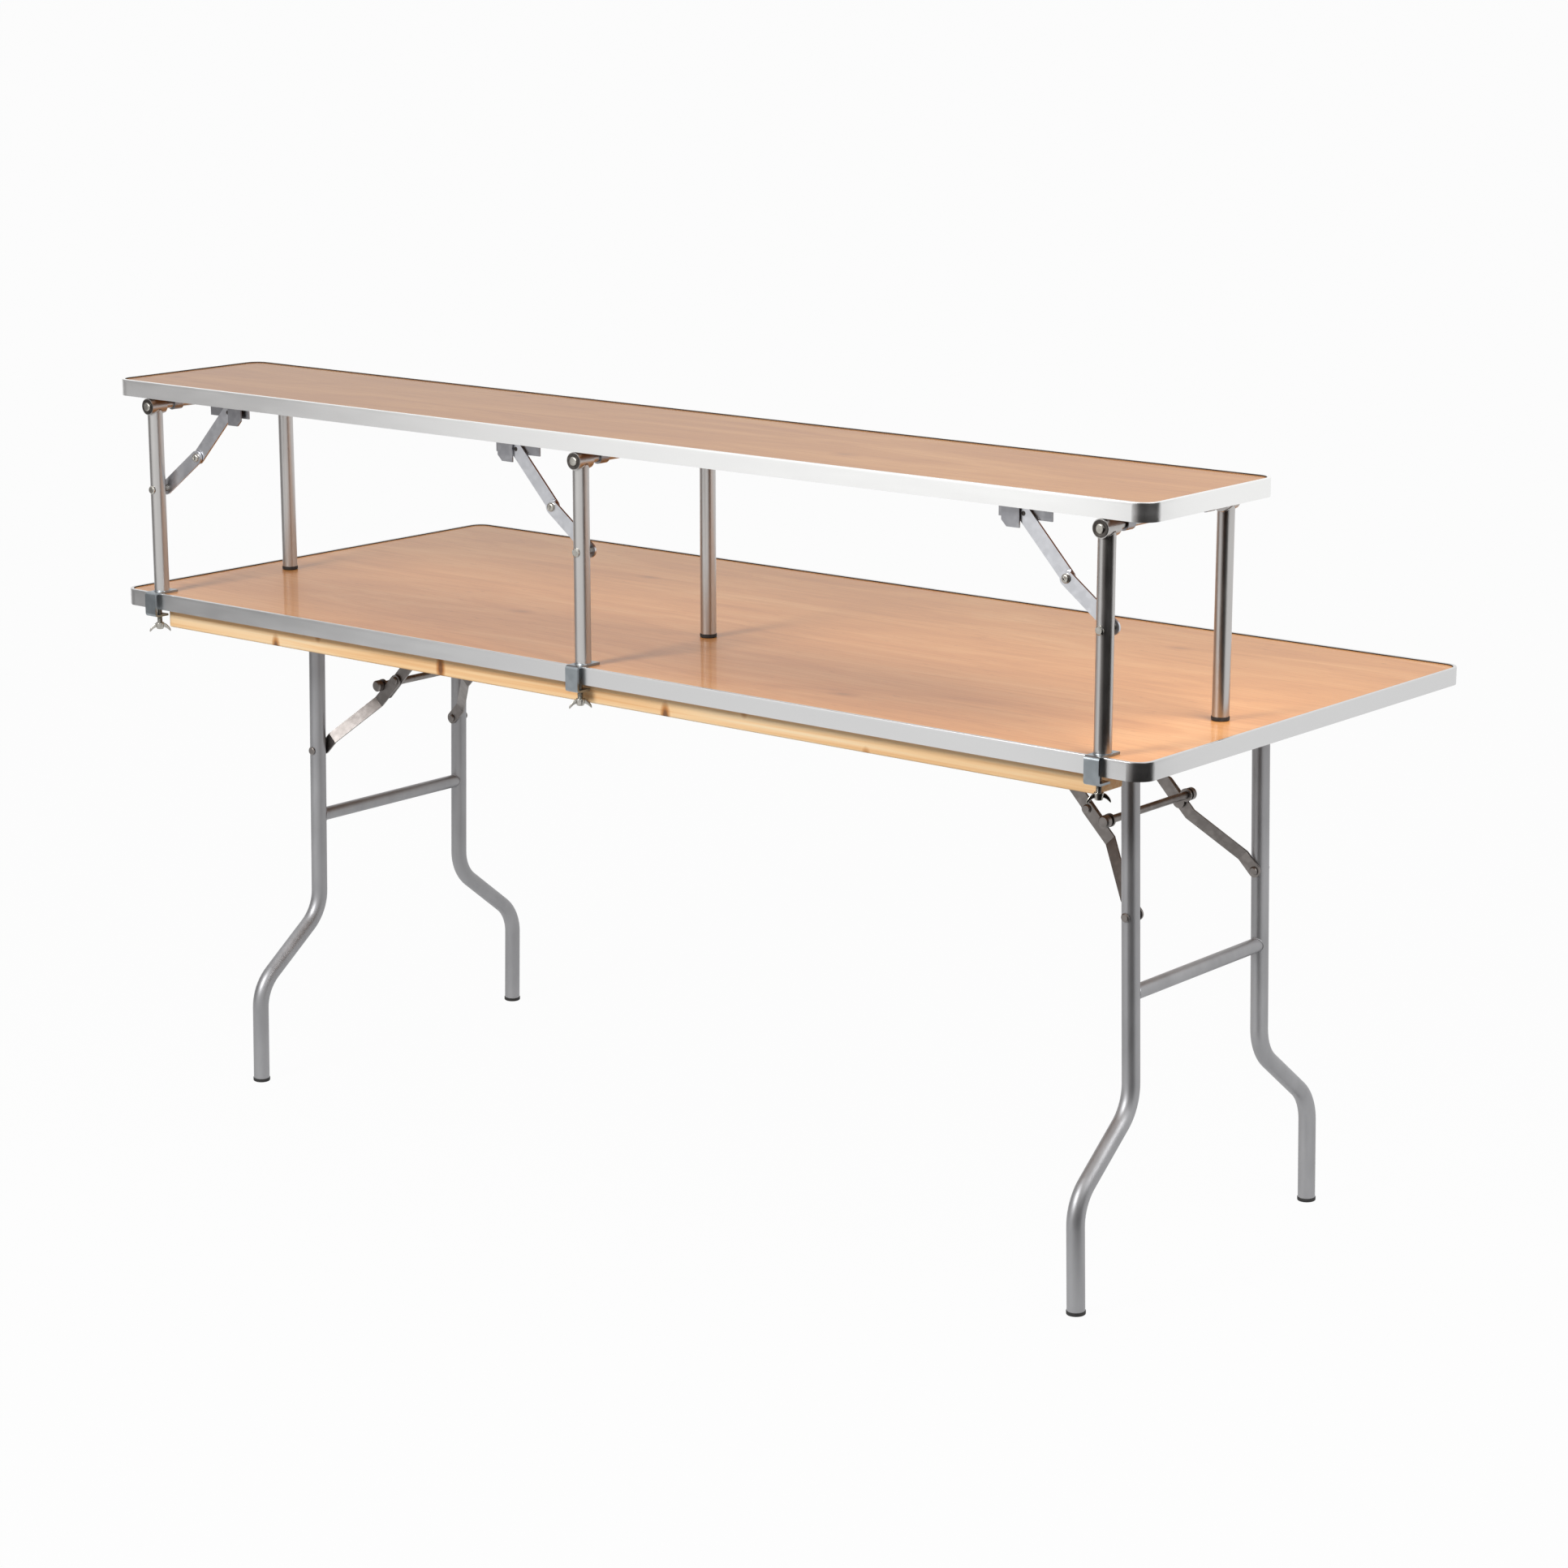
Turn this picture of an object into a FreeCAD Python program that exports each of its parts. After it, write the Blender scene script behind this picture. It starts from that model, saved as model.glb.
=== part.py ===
import FreeCAD, Part
import os
import re
import Sketcher

# A portable bar: a plywood folding table on two folding leg sets, with a narrow
# bar shelf standing on its front edge on three folding leg sets with clamps.
# Millimetres. X runs along the bar, -Y is the side with the clamps, Z is up and
# the origin is on the floor under the middle of the table.

SIZES = (
    # table top
    ("table_length", 1828.8),
    ("table_width", 762),
    ("table_height", 762),
    ("panel_thick", 19),
    ("corner_radius", 25),
    ("trim_height", 22),
    ("trim_face", 3.5),
    ("trim_lip", 12),
    ("trim_round", 1.5),
    ("overrun", 2),
    ("fit_gap", 0.1),
    # wooden runners under the long edges
    ("runner_end_inset", 79.4),
    ("runner_width", 54),
    ("runner_depth", 32),
    ("runner_inset", 19),
    ("runner_round", 3),
    # table leg sets
    ("leg_inset", 172.7),
    ("leg_lean", 1.55),
    ("leg_tube", 24),
    ("leg_wall", 1.6),
    ("leg_spacing", 306),
    ("foot_spacing", 556),
    ("foot_straight", 111.7),
    ("bend_angle", 52),
    ("bend_radius", 65),
    ("pivot_drop", 25),
    ("pivot_tube", 24),
    ("pivot_wall", 2),
    ("crossbar_tube", 20),
    ("crossbar_wall", 1.6),
    ("crossbar_share", 0.467),
    ("weld_gap", 0.1),
    ("glide_dia", 25.6),
    ("glide_floor", 5),
    ("glide_plug", 14),
    ("glide_round", 1.5),
    ("hat_strap", 3),
    ("hat_width", 25),
    ("hat_flange", 34),
    ("hat_screw_spacing", 50),
    ("running_gap", 0.3),
    ("side_gap", 0.8),
    # table braces
    ("brace_drop", 218),
    ("brace_reach", 206.3),
    ("brace_slack", 0.01),
    ("strap_width", 18),
    ("strap_thick", 3),
    ("upper_spread", 176),
    ("joggle_from_elbow", 52),
    ("joggle_from_leg", 26),
    ("bar_dia", 10.5),
    ("bar_reach", 30),
    ("bar_offset", 15.2),
    ("lug_dia", 18),
    ("knob_dia", 17),
    ("knob_length", 9),
    ("knob_round", 2),
    ("collar_dia", 10),
    ("rivet_dia", 6),
    ("rivet_head", 12),
    ("rivet_dome", 3),
    ("pin_gap", 0.08),
    ("anchor_length", 64),
    ("anchor_width", 28),
    ("anchor_thick", 3),
    ("ear_width", 24),
    ("anchor_screw_spacing", 46),
    # wood screws
    ("screw_dia", 4),
    ("screw_head", 9),
    ("screw_dome", 2.6),
    ("dome_share", 0.75),
    ("screw_grip", 12),
    ("screw_gap", 0.1),
    # riser shelf
    ("riser_height", 312.5),
    ("shelf_depth", 282),
    ("shelf_thick", 16),
    ("riser_inset", 69.1),
    ("riser_front_inset", 15),
    ("riser_rear_inset", 9),
    ("rod_drop", 34.5),
    ("rod_dia", 12),
    ("sleeve_dia", 24),
    ("sleeve_length", 28),
    ("riser_tube", 22.2),
    ("riser_wall", 1.6),
    ("saddle_strap", 2.5),
    ("saddle_width", 16),
    ("saddle_flange", 25),
    ("saddle_set_back", 40),
    ("saddle_screw_spacing", 36),
    # riser braces
    ("riser_brace_drop", 123),
    ("riser_brace_reach", 136),
    ("riser_brace_slack", 0.7),
    ("link_width", 20),
    ("link_thick", 3),
    ("link_stand_off", 3.9),
    ("plate_length", 80),
    ("plate_back", 14),
    ("plate_thick", 2.5),
    ("flange_below", 7),
    ("tab_near", 4),
    ("tab_width", 27),
    ("tab_below", 18),
    ("tab_chamfer", 8),
    ("plate_screw_spacing", 60),
    # clamps, wing screws and rubber tips
    ("seat_gap", 0.3),
    ("clamp_width", 22),
    ("clamp_strap", 3),
    ("clamp_stand_off", 6),
    ("clamp_jaw", 30),
    ("clamp_top_reach", 36),
    ("clamp_bottom_reach", 16),
    ("clamp_bend", 5),
    ("wing_set_back", 8.5),
    ("wing_shank", 8),
    ("wing_shank_length", 21),
    ("wing_tip_gap", 0.5),
    ("wing_hub", 13),
    ("wing_hub_height", 10),
    ("wing_reach", 14),
    ("wing_drop", 15),
    ("wing_chord", 6),
    ("wing_thick", 3),
    ("wing_round", 2),
    ("wing_turn", 50),
    ("tip_dia", 23.6),
    ("tip_floor", 5),
    ("tip_plug", 14),
    ("tip_round", 1.2),
)

# Places and lengths that follow from the sizes above.
PLACES = (
    ("lip_thick", "trim_height - panel_thick"),
    ("panel_under", "table_height - panel_thick"),
    ("trim_under", "table_height - trim_height"),
    ("front_edge", "-table_width / 2"),
    ("runner_length", "table_length - 2 * runner_end_inset"),
    ("runner_y", "table_width / 2 - runner_inset - runner_width / 2"),
    ("pivot_z", "panel_under - pivot_drop"),
    ("leg_x", "table_length / 2 - leg_inset"),
    ("leg_y", "leg_spacing / 2"),
    ("foot_y", "foot_spacing / 2"),
    ("bend_shift", "bend_radius * (1 - cos(bend_angle))"),
    ("bend_fall", "bend_radius * sin(bend_angle)"),
    ("slant_shift", "foot_y - leg_y - 2 * bend_shift"),
    ("slant_fall", "slant_shift / tan(bend_angle)"),
    # the legs lean outward, so each glide meets the floor with its outer rim
    ("rim_out", "(glide_dia / 2 - glide_round) * sin(leg_lean)"),
    ("sole_drop", "(pivot_z - glide_round - rim_out) / cos(leg_lean) + glide_round"),
    ("leg_drop", "sole_drop - glide_floor - fit_gap"),
    ("bend_start", "leg_drop - foot_straight - 2 * bend_fall - slant_fall"),
    ("crossbar_drop", "brace_drop + (bend_start - brace_drop) * crossbar_share"),
    ("hat_in", "leg_y + leg_tube / 2 + side_gap"),
    ("hat_out", "hat_in + hat_width"),
    ("hat_bore", "pivot_tube / 2 + running_gap"),
    # table brace: anchor and leg rivet are in line when the leg is folded, so the
    # difference of the two link lengths is the difference of their reaches
    ("lean_out", "brace_drop * sin(leg_lean)"),
    ("lean_fall", "brace_drop * cos(leg_lean)"),
    ("brace_span", "brace_reach + lean_out"),
    ("brace_chord", "sqrt(brace_span ^ 2 + lean_fall ^ 2)"),
    ("upper_link", "(brace_chord + brace_slack + brace_reach - brace_drop) / 2"),
    ("lower_link", "(brace_chord + brace_slack - brace_reach + brace_drop) / 2"),
    ("elbow_along", "(upper_link ^ 2 - lower_link ^ 2 + brace_chord ^ 2) / (2 * brace_chord)"),
    ("elbow_off", "sqrt(upper_link ^ 2 - elbow_along ^ 2)"),
    ("elbow_x", "brace_reach - (elbow_along * brace_span - elbow_off * lean_fall) / brace_chord"),
    ("elbow_z", "-(elbow_along * lean_fall + elbow_off * brace_span) / brace_chord"),
    ("upper_turn", "atan2(-elbow_z; brace_reach - elbow_x)"),
    ("lower_turn", "atan2(elbow_z + lean_fall; elbow_x + lean_out)"),
    ("anchor_x", "leg_x - brace_reach"),
    ("upper_in", "upper_spread / 2"),
    ("upper_out", "upper_in + strap_thick"),
    ("lower_in", "upper_out + side_gap"),
    ("lower_out", "lower_in + strap_thick"),
    ("leg_face", "leg_y - leg_tube / 2"),
    ("foot_link_out", "leg_face - side_gap"),
    ("foot_link_in", "foot_link_out - strap_thick"),
    ("ear_out", "upper_in - side_gap"),
    ("ear_in", "ear_out - anchor_thick"),
    ("bar_end", "lower_out + side_gap"),
    # riser
    ("shelf_top", "table_height + riser_height"),
    ("shelf_under", "shelf_top - shelf_thick"),
    ("shelf_y", "front_edge + shelf_depth / 2"),
    ("rod_z", "shelf_top - rod_drop"),
    ("riser_x", "table_length / 2 - riser_inset"),
    ("riser_front_y", "front_edge + riser_front_inset"),
    ("riser_rear_y", "front_edge + shelf_depth - riser_rear_inset"),
    ("rod_y", "(riser_front_y + riser_rear_y) / 2"),
    ("saddle_half", "(riser_rear_y - riser_front_y) / 2 - saddle_set_back"),
    ("saddle_bore", "rod_dia / 2 + running_gap"),
    ("saddle_rise", "rod_drop - shelf_thick"),
    ("riser_chord", "sqrt(riser_brace_reach ^ 2 + riser_brace_drop ^ 2)"),
    ("riser_upper", "(riser_chord + riser_brace_slack + riser_brace_reach - riser_brace_drop) / 2"),
    ("riser_lower", "(riser_chord + riser_brace_slack - riser_brace_reach + riser_brace_drop) / 2"),
    ("knee_along", "(riser_upper ^ 2 - riser_lower ^ 2 + riser_chord ^ 2) / (2 * riser_chord)"),
    ("knee_off", "sqrt(riser_upper ^ 2 - knee_along ^ 2)"),
    ("knee_x", "riser_brace_reach - (knee_along * riser_brace_reach - knee_off * riser_brace_drop)"
               " / riser_chord"),
    ("knee_z", "-(knee_along * riser_brace_drop + knee_off * riser_brace_reach) / riser_chord"),
    ("riser_upper_turn", "atan2(-knee_z; riser_brace_reach - knee_x)"),
    ("riser_lower_turn", "atan2(knee_z + riser_brace_drop; knee_x)"),
    ("link_in", "riser_tube / 2 + link_stand_off"),
    ("link_out", "link_in + link_thick"),
    ("upper_y", "riser_front_y + link_out + side_gap + link_thick / 2"),
    ("flange_near", "link_thick / 2 + side_gap"),
    ("flange_far", "flange_near + plate_thick"),
    ("clamp_front", "clamp_stand_off + clamp_strap"),
    ("clamp_foot", "seat_gap + clamp_strap"),
    ("front_leg_drop", "rod_z - table_height - clamp_foot - weld_gap"),
    ("rear_leg_drop", "rod_z - table_height - seat_gap - tip_floor - fit_gap"),
    ("wing_y", "front_edge + wing_set_back"),
    ("wing_z", "trim_under - wing_tip_gap - wing_shank_length"),
)

NAMES = {alias for alias, text in SIZES + PLACES}

doc = FreeCAD.newDocument("PortableBar")
sheet = doc.addObject("Spreadsheet::Sheet", "Sizes")
row = 0
for alias, number in SIZES:
    row += 1
    sheet.set("A%d" % row, alias)
    sheet.set("B%d" % row, str(number))
    sheet.setAlias("B%d" % row, alias)
for alias, formula in PLACES:
    row += 1
    sheet.set("A%d" % row, alias)
    sheet.set("B%d" % row, "=" + formula)
    sheet.setAlias("B%d" % row, alias)
doc.recompute()


def full(text):
    """The expression with each size written as a cell of the sheet."""
    def cell(word):
        return "Sizes." + word[0] if word[0] in NAMES else word[0]

    return re.sub(r"[A-Za-z_]\w*", cell, text)


def size(text):
    """The present value of an expression."""
    return float(FreeCAD.Units.Quantity(str(sheet.evalExpression(text))).Value)


def bind(thing, name, text):
    thing.setExpression(name, full(text))


def new_body(label, x="0", y="0", z="0", axis=(0, 0, 1), turn=None):
    body = doc.addObject("PartDesign::Body", label)
    body.Label = label
    if turn:
        turned = FreeCAD.Rotation(FreeCAD.Vector(axis), size(turn))
        body.Placement = FreeCAD.Placement(FreeCAD.Vector(), turned)
        bind(body, "Placement.Rotation.Angle", turn)
    bind(body, "Placement.Base.x", x)
    bind(body, "Placement.Base.y", y)
    bind(body, "Placement.Base.z", z)
    return body


def new_sketch(body, plane, lift="0"):
    """A sketch on one of the body's own planes, raised along its normal."""
    sketch = body.newObject("Sketcher::SketchObject", "Sketch")
    support = [part for part in body.Origin.OriginFeatures if part.Role == plane][0]
    sketch.AttachmentSupport = [(support, "")]
    sketch.MapMode = "FlatFace"
    bind(sketch, "AttachmentOffset.Base.z", lift)
    return sketch


def pin_point(sketch, geometry, end, x, y):
    """Hold one point of a sketch at two expressions."""
    for kind, along, text in (("DistanceX", -2, x), ("DistanceY", -1, y)):
        if text == "0":
            sketch.addConstraint(Sketcher.Constraint("PointOnObject", geometry, end, along))
        else:
            made = sketch.addConstraint(Sketcher.Constraint(kind, -1, 1, geometry, end, size(text)))
            bind(sketch, "Constraints[%d]" % made, text)


def draw(sketch, steps, closed=True):
    """A chain of lines and arcs. A step (x, y) is a line to that point, and a step
    (x, y, centre x, centre y, turn) is an arc to it. A closed chain ends where it starts."""
    flat = [FreeCAD.Vector(size(step[0]), size(step[1]), 0) for step in steps]
    chain = []
    for index in range(0 if closed else 1, len(steps)):
        step, tail, head = steps[index], flat[index - 1], flat[index]
        if len(step) == 2:
            made = sketch.addGeometry(Part.LineSegment(tail, head), False)
            chain.append((made, 1, 2))
            pin_point(sketch, made, 2, step[0], step[1])
            continue
        centre = FreeCAD.Vector(size(step[2]), size(step[3]), 0)
        circle = Part.Circle(centre, FreeCAD.Vector(0, 0, 1), (tail - centre).Length)
        ends = (tail, head) if step[4] == "left" else (head, tail)
        arc = Part.ArcOfCircle(circle, circle.parameter(ends[0]), circle.parameter(ends[1]))
        made = sketch.addGeometry(arc, False)
        start, stop = (1, 2) if step[4] == "left" else (2, 1)
        chain.append((made, start, stop))
        pin_point(sketch, made, stop, step[0], step[1])
        level = abs(head.x - tail.x) >= abs(head.y - tail.y)
        kind, along, text = ("DistanceY", -1, step[3]) if level else ("DistanceX", -2, step[2])
        if text == "0":
            sketch.addConstraint(Sketcher.Constraint("PointOnObject", made, 3, along))
        else:
            held = sketch.addConstraint(Sketcher.Constraint(kind, -1, 1, made, 3, size(text)))
            bind(sketch, "Constraints[%d]" % held, text)
    for index in range(0 if closed else 1, len(chain)):
        before, now = chain[index - 1], chain[index]
        sketch.addConstraint(Sketcher.Constraint("Coincident", before[0], before[2], now[0], now[1]))
    if not closed:
        pin_point(sketch, chain[0][0], chain[0][1], steps[0][0], steps[0][1])


def ring(sketch, diameter, x="0", y="0"):
    """A full circle."""
    where = FreeCAD.Vector(size(x), size(y), 0)
    made = sketch.addGeometry(Part.Circle(where, FreeCAD.Vector(0, 0, 1), size(diameter) / 2), False)
    pin_point(sketch, made, 3, x, y)
    held = sketch.addConstraint(Sketcher.Constraint("Diameter", made, size(diameter)))
    bind(sketch, "Constraints[%d]" % held, diameter)


def box(sketch, x_low, x_high, y_low, y_high):
    draw(sketch, [(x_low, y_low), (x_high, y_low), (x_high, y_high), (x_low, y_high)])


def round_box(sketch, length, width, radius):
    """A rectangle about the origin with rounded corners."""
    across, deep = "(%s) / 2" % length, "(%s) / 2" % width
    bend_x, bend_y = "(%s - (%s))" % (across, radius), "(%s - (%s))" % (deep, radius)
    draw(sketch, [
        (bend_x, "-" + deep),
        (across, "-" + bend_y, bend_x, "-" + bend_y, "left"),
        (across, bend_y),
        (bend_x, deep, bend_x, bend_y, "left"),
        ("-" + bend_x, deep),
        ("-" + across, bend_y, "-" + bend_x, bend_y, "left"),
        ("-" + across, "-" + bend_y),
        ("-" + bend_x, "-" + deep, "-" + bend_x, "-" + bend_y, "left"),
    ])


def slot(sketch, reach, width):
    """A strap outline with round ends, from the origin along x."""
    half = "%s / 2" % width
    draw(sketch, [
        (reach, "-" + half),
        (reach, half, reach, "0", "left"),
        ("0", half),
        ("0", "-" + half, "0", "0", "left"),
    ])


def hat(sketch, x, top, bore, strap, flange):
    """A saddle strap: two flanges at the top and a loop under a tube at x."""
    wall = "(%s + %s)" % (bore, strap)
    seat = "%s - %s" % (top, strap)
    draw(sketch, [
        ("%s - %s" % (x, flange), top),
        ("%s - %s" % (x, flange), seat),
        ("%s - %s" % (x, wall), seat),
        ("%s - %s" % (x, wall), "0"),
        ("%s + %s" % (x, wall), "0", x, "0", "left"),
        ("%s + %s" % (x, wall), seat),
        ("%s + %s" % (x, flange), seat),
        ("%s + %s" % (x, flange), top),
        ("%s + %s" % (x, bore), top),
        ("%s + %s" % (x, bore), "0"),
        ("%s - %s" % (x, bore), "0", x, "0", "right"),
        ("%s - %s" % (x, bore), top),
    ])


def add(body, sketch, length, both=False, back=False):
    """Pad a sketch: upward, backward or to both sides alike."""
    feature = body.newObject("PartDesign::Pad", "Pad")
    feature.Profile = sketch
    feature.Midplane = both
    feature.Reversed = back
    bind(feature, "Length", length)
    return feature


def cut(body, sketch, length=None):
    """Pocket a sketch to both sides alike, right through unless a length is given."""
    feature = body.newObject("PartDesign::Pocket", "Pocket")
    feature.Profile = sketch
    feature.Midplane = True
    if length:
        bind(feature, "Length", length)
    else:
        feature.Type = "ThroughAll"
    return feature


def bore(body, plane, diameter, *spots):
    """Round holes right through, square to a plane."""
    sketch = new_sketch(body, plane)
    for x, y in spots:
        ring(sketch, diameter, x, y)
    return cut(body, sketch)


def open_middle(body, half):
    """Take away all that lies within this distance of the body's XZ plane."""
    sketch = new_sketch(body, "XZ_Plane")
    box(sketch, "-table_length", "table_length", "-table_length", "table_length")
    return cut(body, sketch, "2 * (%s)" % half)


def turn_about_y(body, steps_list):
    """Revolve half sections, drawn as (radius, y), about the body's Y axis."""
    sketch = new_sketch(body, "XY_Plane")
    for steps in steps_list:
        draw(sketch, steps)
    feature = body.newObject("PartDesign::Revolution", "Revolution")
    feature.Profile = sketch
    feature.ReferenceAxis = (sketch, ["V_Axis"])
    return feature


def soften(body, radius, wanted):
    """Fillet the edges of the body that the test picks."""
    doc.recompute()
    base = body.Tip
    names = ["Edge%d" % (index + 1) for index, edge in enumerate(base.Shape.Edges) if wanted(edge)]
    feature = body.newObject("PartDesign::Fillet", "Fillet")
    feature.Base = (base, names)
    bind(feature, "Radius", radius)
    return feature


def level_at(text):
    """A test for edges that lie flat at this height in the body."""
    height = size(text)
    near = size("fit_gap")

    def passes(edge):
        return max(abs(edge.BoundBox.ZMin - height), abs(edge.BoundBox.ZMax - height)) < near

    return passes


def along(letter, *tests):
    """A test for straight edges along an axis that also pass the other tests."""
    index = "xyz".index(letter)

    def passes(edge):
        if not isinstance(edge.Curve, Part.Line):
            return False
        if abs(abs(edge.Curve.Direction[index]) - 1) > EVEN_SHARE:
            return False
        return all(test(edge.CenterOfMass) for test in tests)

    return passes


EVEN_SHARE = 1e-6
SIDES = (("left", "-"), ("right", ""))
RISERS = (("left", "-riser_x", ""), ("middle", "0", "-"), ("right", "riser_x", "-"))
nodes = []

# table top: plywood panel in an aluminium edge trim
trim_inner = "table_length - 2 * trim_face", "table_width - 2 * trim_face", "corner_radius - trim_face"
trim_open = "table_length - 2 * trim_lip", "table_width - 2 * trim_lip", "corner_radius - trim_lip"
panel_plan = ["%s - %sfit_gap" % (text, twice) for text, twice in zip(trim_inner, ("2 * ", "2 * ", ""))]
hat_spots = [
    ("%sleg_x %s hat_screw_spacing / 2" % (side, hand), "%s(hat_in + hat_out) / 2" % end)
    for name, side in SIDES for hand in "+-" for end in ("-", "")
]
anchor_spots = [
    ("%sanchor_x %s anchor_screw_spacing / 2" % (side, hand), "%s(ear_in + upper_out) / 2" % end)
    for name, side in SIDES for hand in "+-" for end in ("-", "")
]

panel = new_body("table_top_panel", z="panel_under")
plan = new_sketch(panel, "XY_Plane")
round_box(plan, *panel_plan)
add(panel, plan, "panel_thick")
pilots = new_sketch(panel, "XY_Plane")
for x, y in hat_spots + anchor_spots:
    ring(pilots, "screw_dia + 2 * screw_gap", x, y)
cut(panel, pilots, "2 * screw_grip")
nodes.append(panel)


def edge_trim(label, place, outer, inner, opening, lip, height):
    """An edge moulding: an upright face with a lip under the panel."""
    trim = new_body(label, y=place[0], z=place[1])
    lip_plan = new_sketch(trim, "XY_Plane")
    round_box(lip_plan, *outer)
    round_box(lip_plan, *opening)
    add(trim, lip_plan, lip)
    wall_plan = new_sketch(trim, "XY_Plane")
    round_box(wall_plan, *outer)
    round_box(wall_plan, *inner)
    add(trim, wall_plan, height)
    top, half = level_at(height), size("trim_face") / 2
    reach = [size("(%s) / 2" % text) - half for text in outer[:2]]

    def outer_top(edge):
        span = edge.BoundBox
        outside_x = max(span.XMax, -span.XMin) > reach[0]
        outside_y = max(span.YMax, -span.YMin) > reach[1]
        return top(edge) and (outside_x or outside_y)

    soften(trim, "trim_round", outer_top)
    nodes.append(trim)


edge_trim("table_edge_trim", ("0", "trim_under"), ("table_length", "table_width", "corner_radius"),
          trim_inner, trim_open, "lip_thick - fit_gap", "trim_height")

for label, end in (("front_runner", "-"), ("rear_runner", "")):
    runner = new_body(label, y=end + "runner_y", z="panel_under - runner_depth")
    plan = new_sketch(runner, "XY_Plane")
    box(plan, "-runner_length / 2", "runner_length / 2", "-runner_width / 2", "runner_width / 2")
    add(runner, plan, "runner_depth")
    soften(runner, "runner_round", level_at("0"))
    nodes.append(runner)

# saddle straps that carry the leg pivot tubes
hats = new_body("leg_pivot_brackets", z="pivot_z")
section = new_sketch(hats, "XZ_Plane")
for name, side in SIDES:
    hat(section, side + "leg_x", "pivot_drop", "hat_bore", "hat_strap", "hat_flange")
add(hats, section, "2 * hat_out", both=True)
open_middle(hats, "hat_in")
bore(hats, "XY_Plane", "screw_dia + 2 * screw_gap", *hat_spots)
nodes.append(hats)

# angle brackets that carry the upper links
anchors = new_body("brace_anchors", z="pivot_z")
ears = new_sketch(anchors, "XZ_Plane")
for name, side in SIDES:
    low, high = "%sanchor_x - ear_width / 2" % side, "%sanchor_x + ear_width / 2" % side
    draw(ears, [
        (low, "pivot_drop"),
        (low, "0"),
        (high, "0", side + "anchor_x", "0", "left"),
        (high, "pivot_drop"),
    ])
add(anchors, ears, "2 * ear_out", both=True)
open_middle(anchors, "ear_in")
plates = new_sketch(anchors, "XY_Plane", "pivot_drop")
for name, side in SIDES:
    for end in ("-", ""):
        near, far = end + "ear_in", "%s(ear_in + anchor_width)" % end
        box(plates, "%sanchor_x - anchor_length / 2" % side, "%sanchor_x + anchor_length / 2" % side,
            *((far, near) if end else (near, far)))
add(anchors, plates, "anchor_thick", back=True)
bore(anchors, "XZ_Plane", "rivet_dia + 2 * pin_gap", ("-anchor_x", "0"), ("anchor_x", "0"))
anchor_holes = new_sketch(anchors, "XY_Plane", "pivot_drop")
for x, y in anchor_spots:
    ring(anchor_holes, "screw_dia + 2 * screw_gap", x, y)
cut(anchors, anchor_holes, "2 * (anchor_thick + overrun)")
nodes.append(anchors)


def rivet_section(sign, near, far, near_head=True, far_head=True):
    """Half section of a rivet along Y, with flat domes outside the two faces."""
    shank, head = "rivet_dia / 2", "rivet_head / 2"
    brow = "(rivet_head + rivet_dia) / 4"
    steps = [("0", near)]
    if near_head:
        steps = [("0", "%s - rivet_dome" % near), (brow, "%s - rivet_dome" % near),
                 (head, "%s - rivet_dome / 2" % near), (head, near)]
    steps.append((shank, near))
    steps.append((shank, far))
    if far_head:
        steps += [(head, far), (head, "%s + rivet_dome / 2" % far), (brow, "%s + rivet_dome" % far),
                  ("0", "%s + rivet_dome" % far)]
    else:
        steps.append(("0", far))
    return [(x, "%s(%s)" % (sign, y)) for x, y in steps]


pins = []
for name, side in SIDES:
    pin = new_body("anchor_pins_" + name, x=side + "anchor_x", z="pivot_z")
    turn_about_y(pin, [rivet_section(end, "ear_in - pin_gap", "upper_out + pin_gap") for end in ("-", "")])
    pins.append(pin)


def group(label, pieces):
    """One node that holds several like pieces."""
    whole = doc.addObject("Part::Compound", label)
    whole.Label = label
    whole.Links = pieces
    nodes.append(whole)


group("brace_anchor_pins", pins)


def wood_screws(label, seats):
    """Round-head screws: seats are (height under the head, its spots)."""
    pieces = []
    for number, (height, spots) in enumerate(seats):
        screws = new_body("%s_%d" % (label, number + 1), z=height)
        heads, shanks = new_sketch(screws, "XY_Plane"), new_sketch(screws, "XY_Plane")
        for x, y in spots:
            ring(heads, "screw_head", x, y)
            ring(shanks, "screw_dia", x, y)
        add(screws, heads, "screw_dome", back=True)
        add(screws, shanks, "screw_grip")
        low = level_at("-screw_dome")
        soften(screws, "screw_dome * dome_share", low)
        pieces.append(screws)
    group(label, pieces)


wood_screws("table_screws", [
    ("panel_under - hat_strap - fit_gap", hat_spots),
    ("panel_under - anchor_thick - fit_gap", anchor_spots),
])

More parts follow.
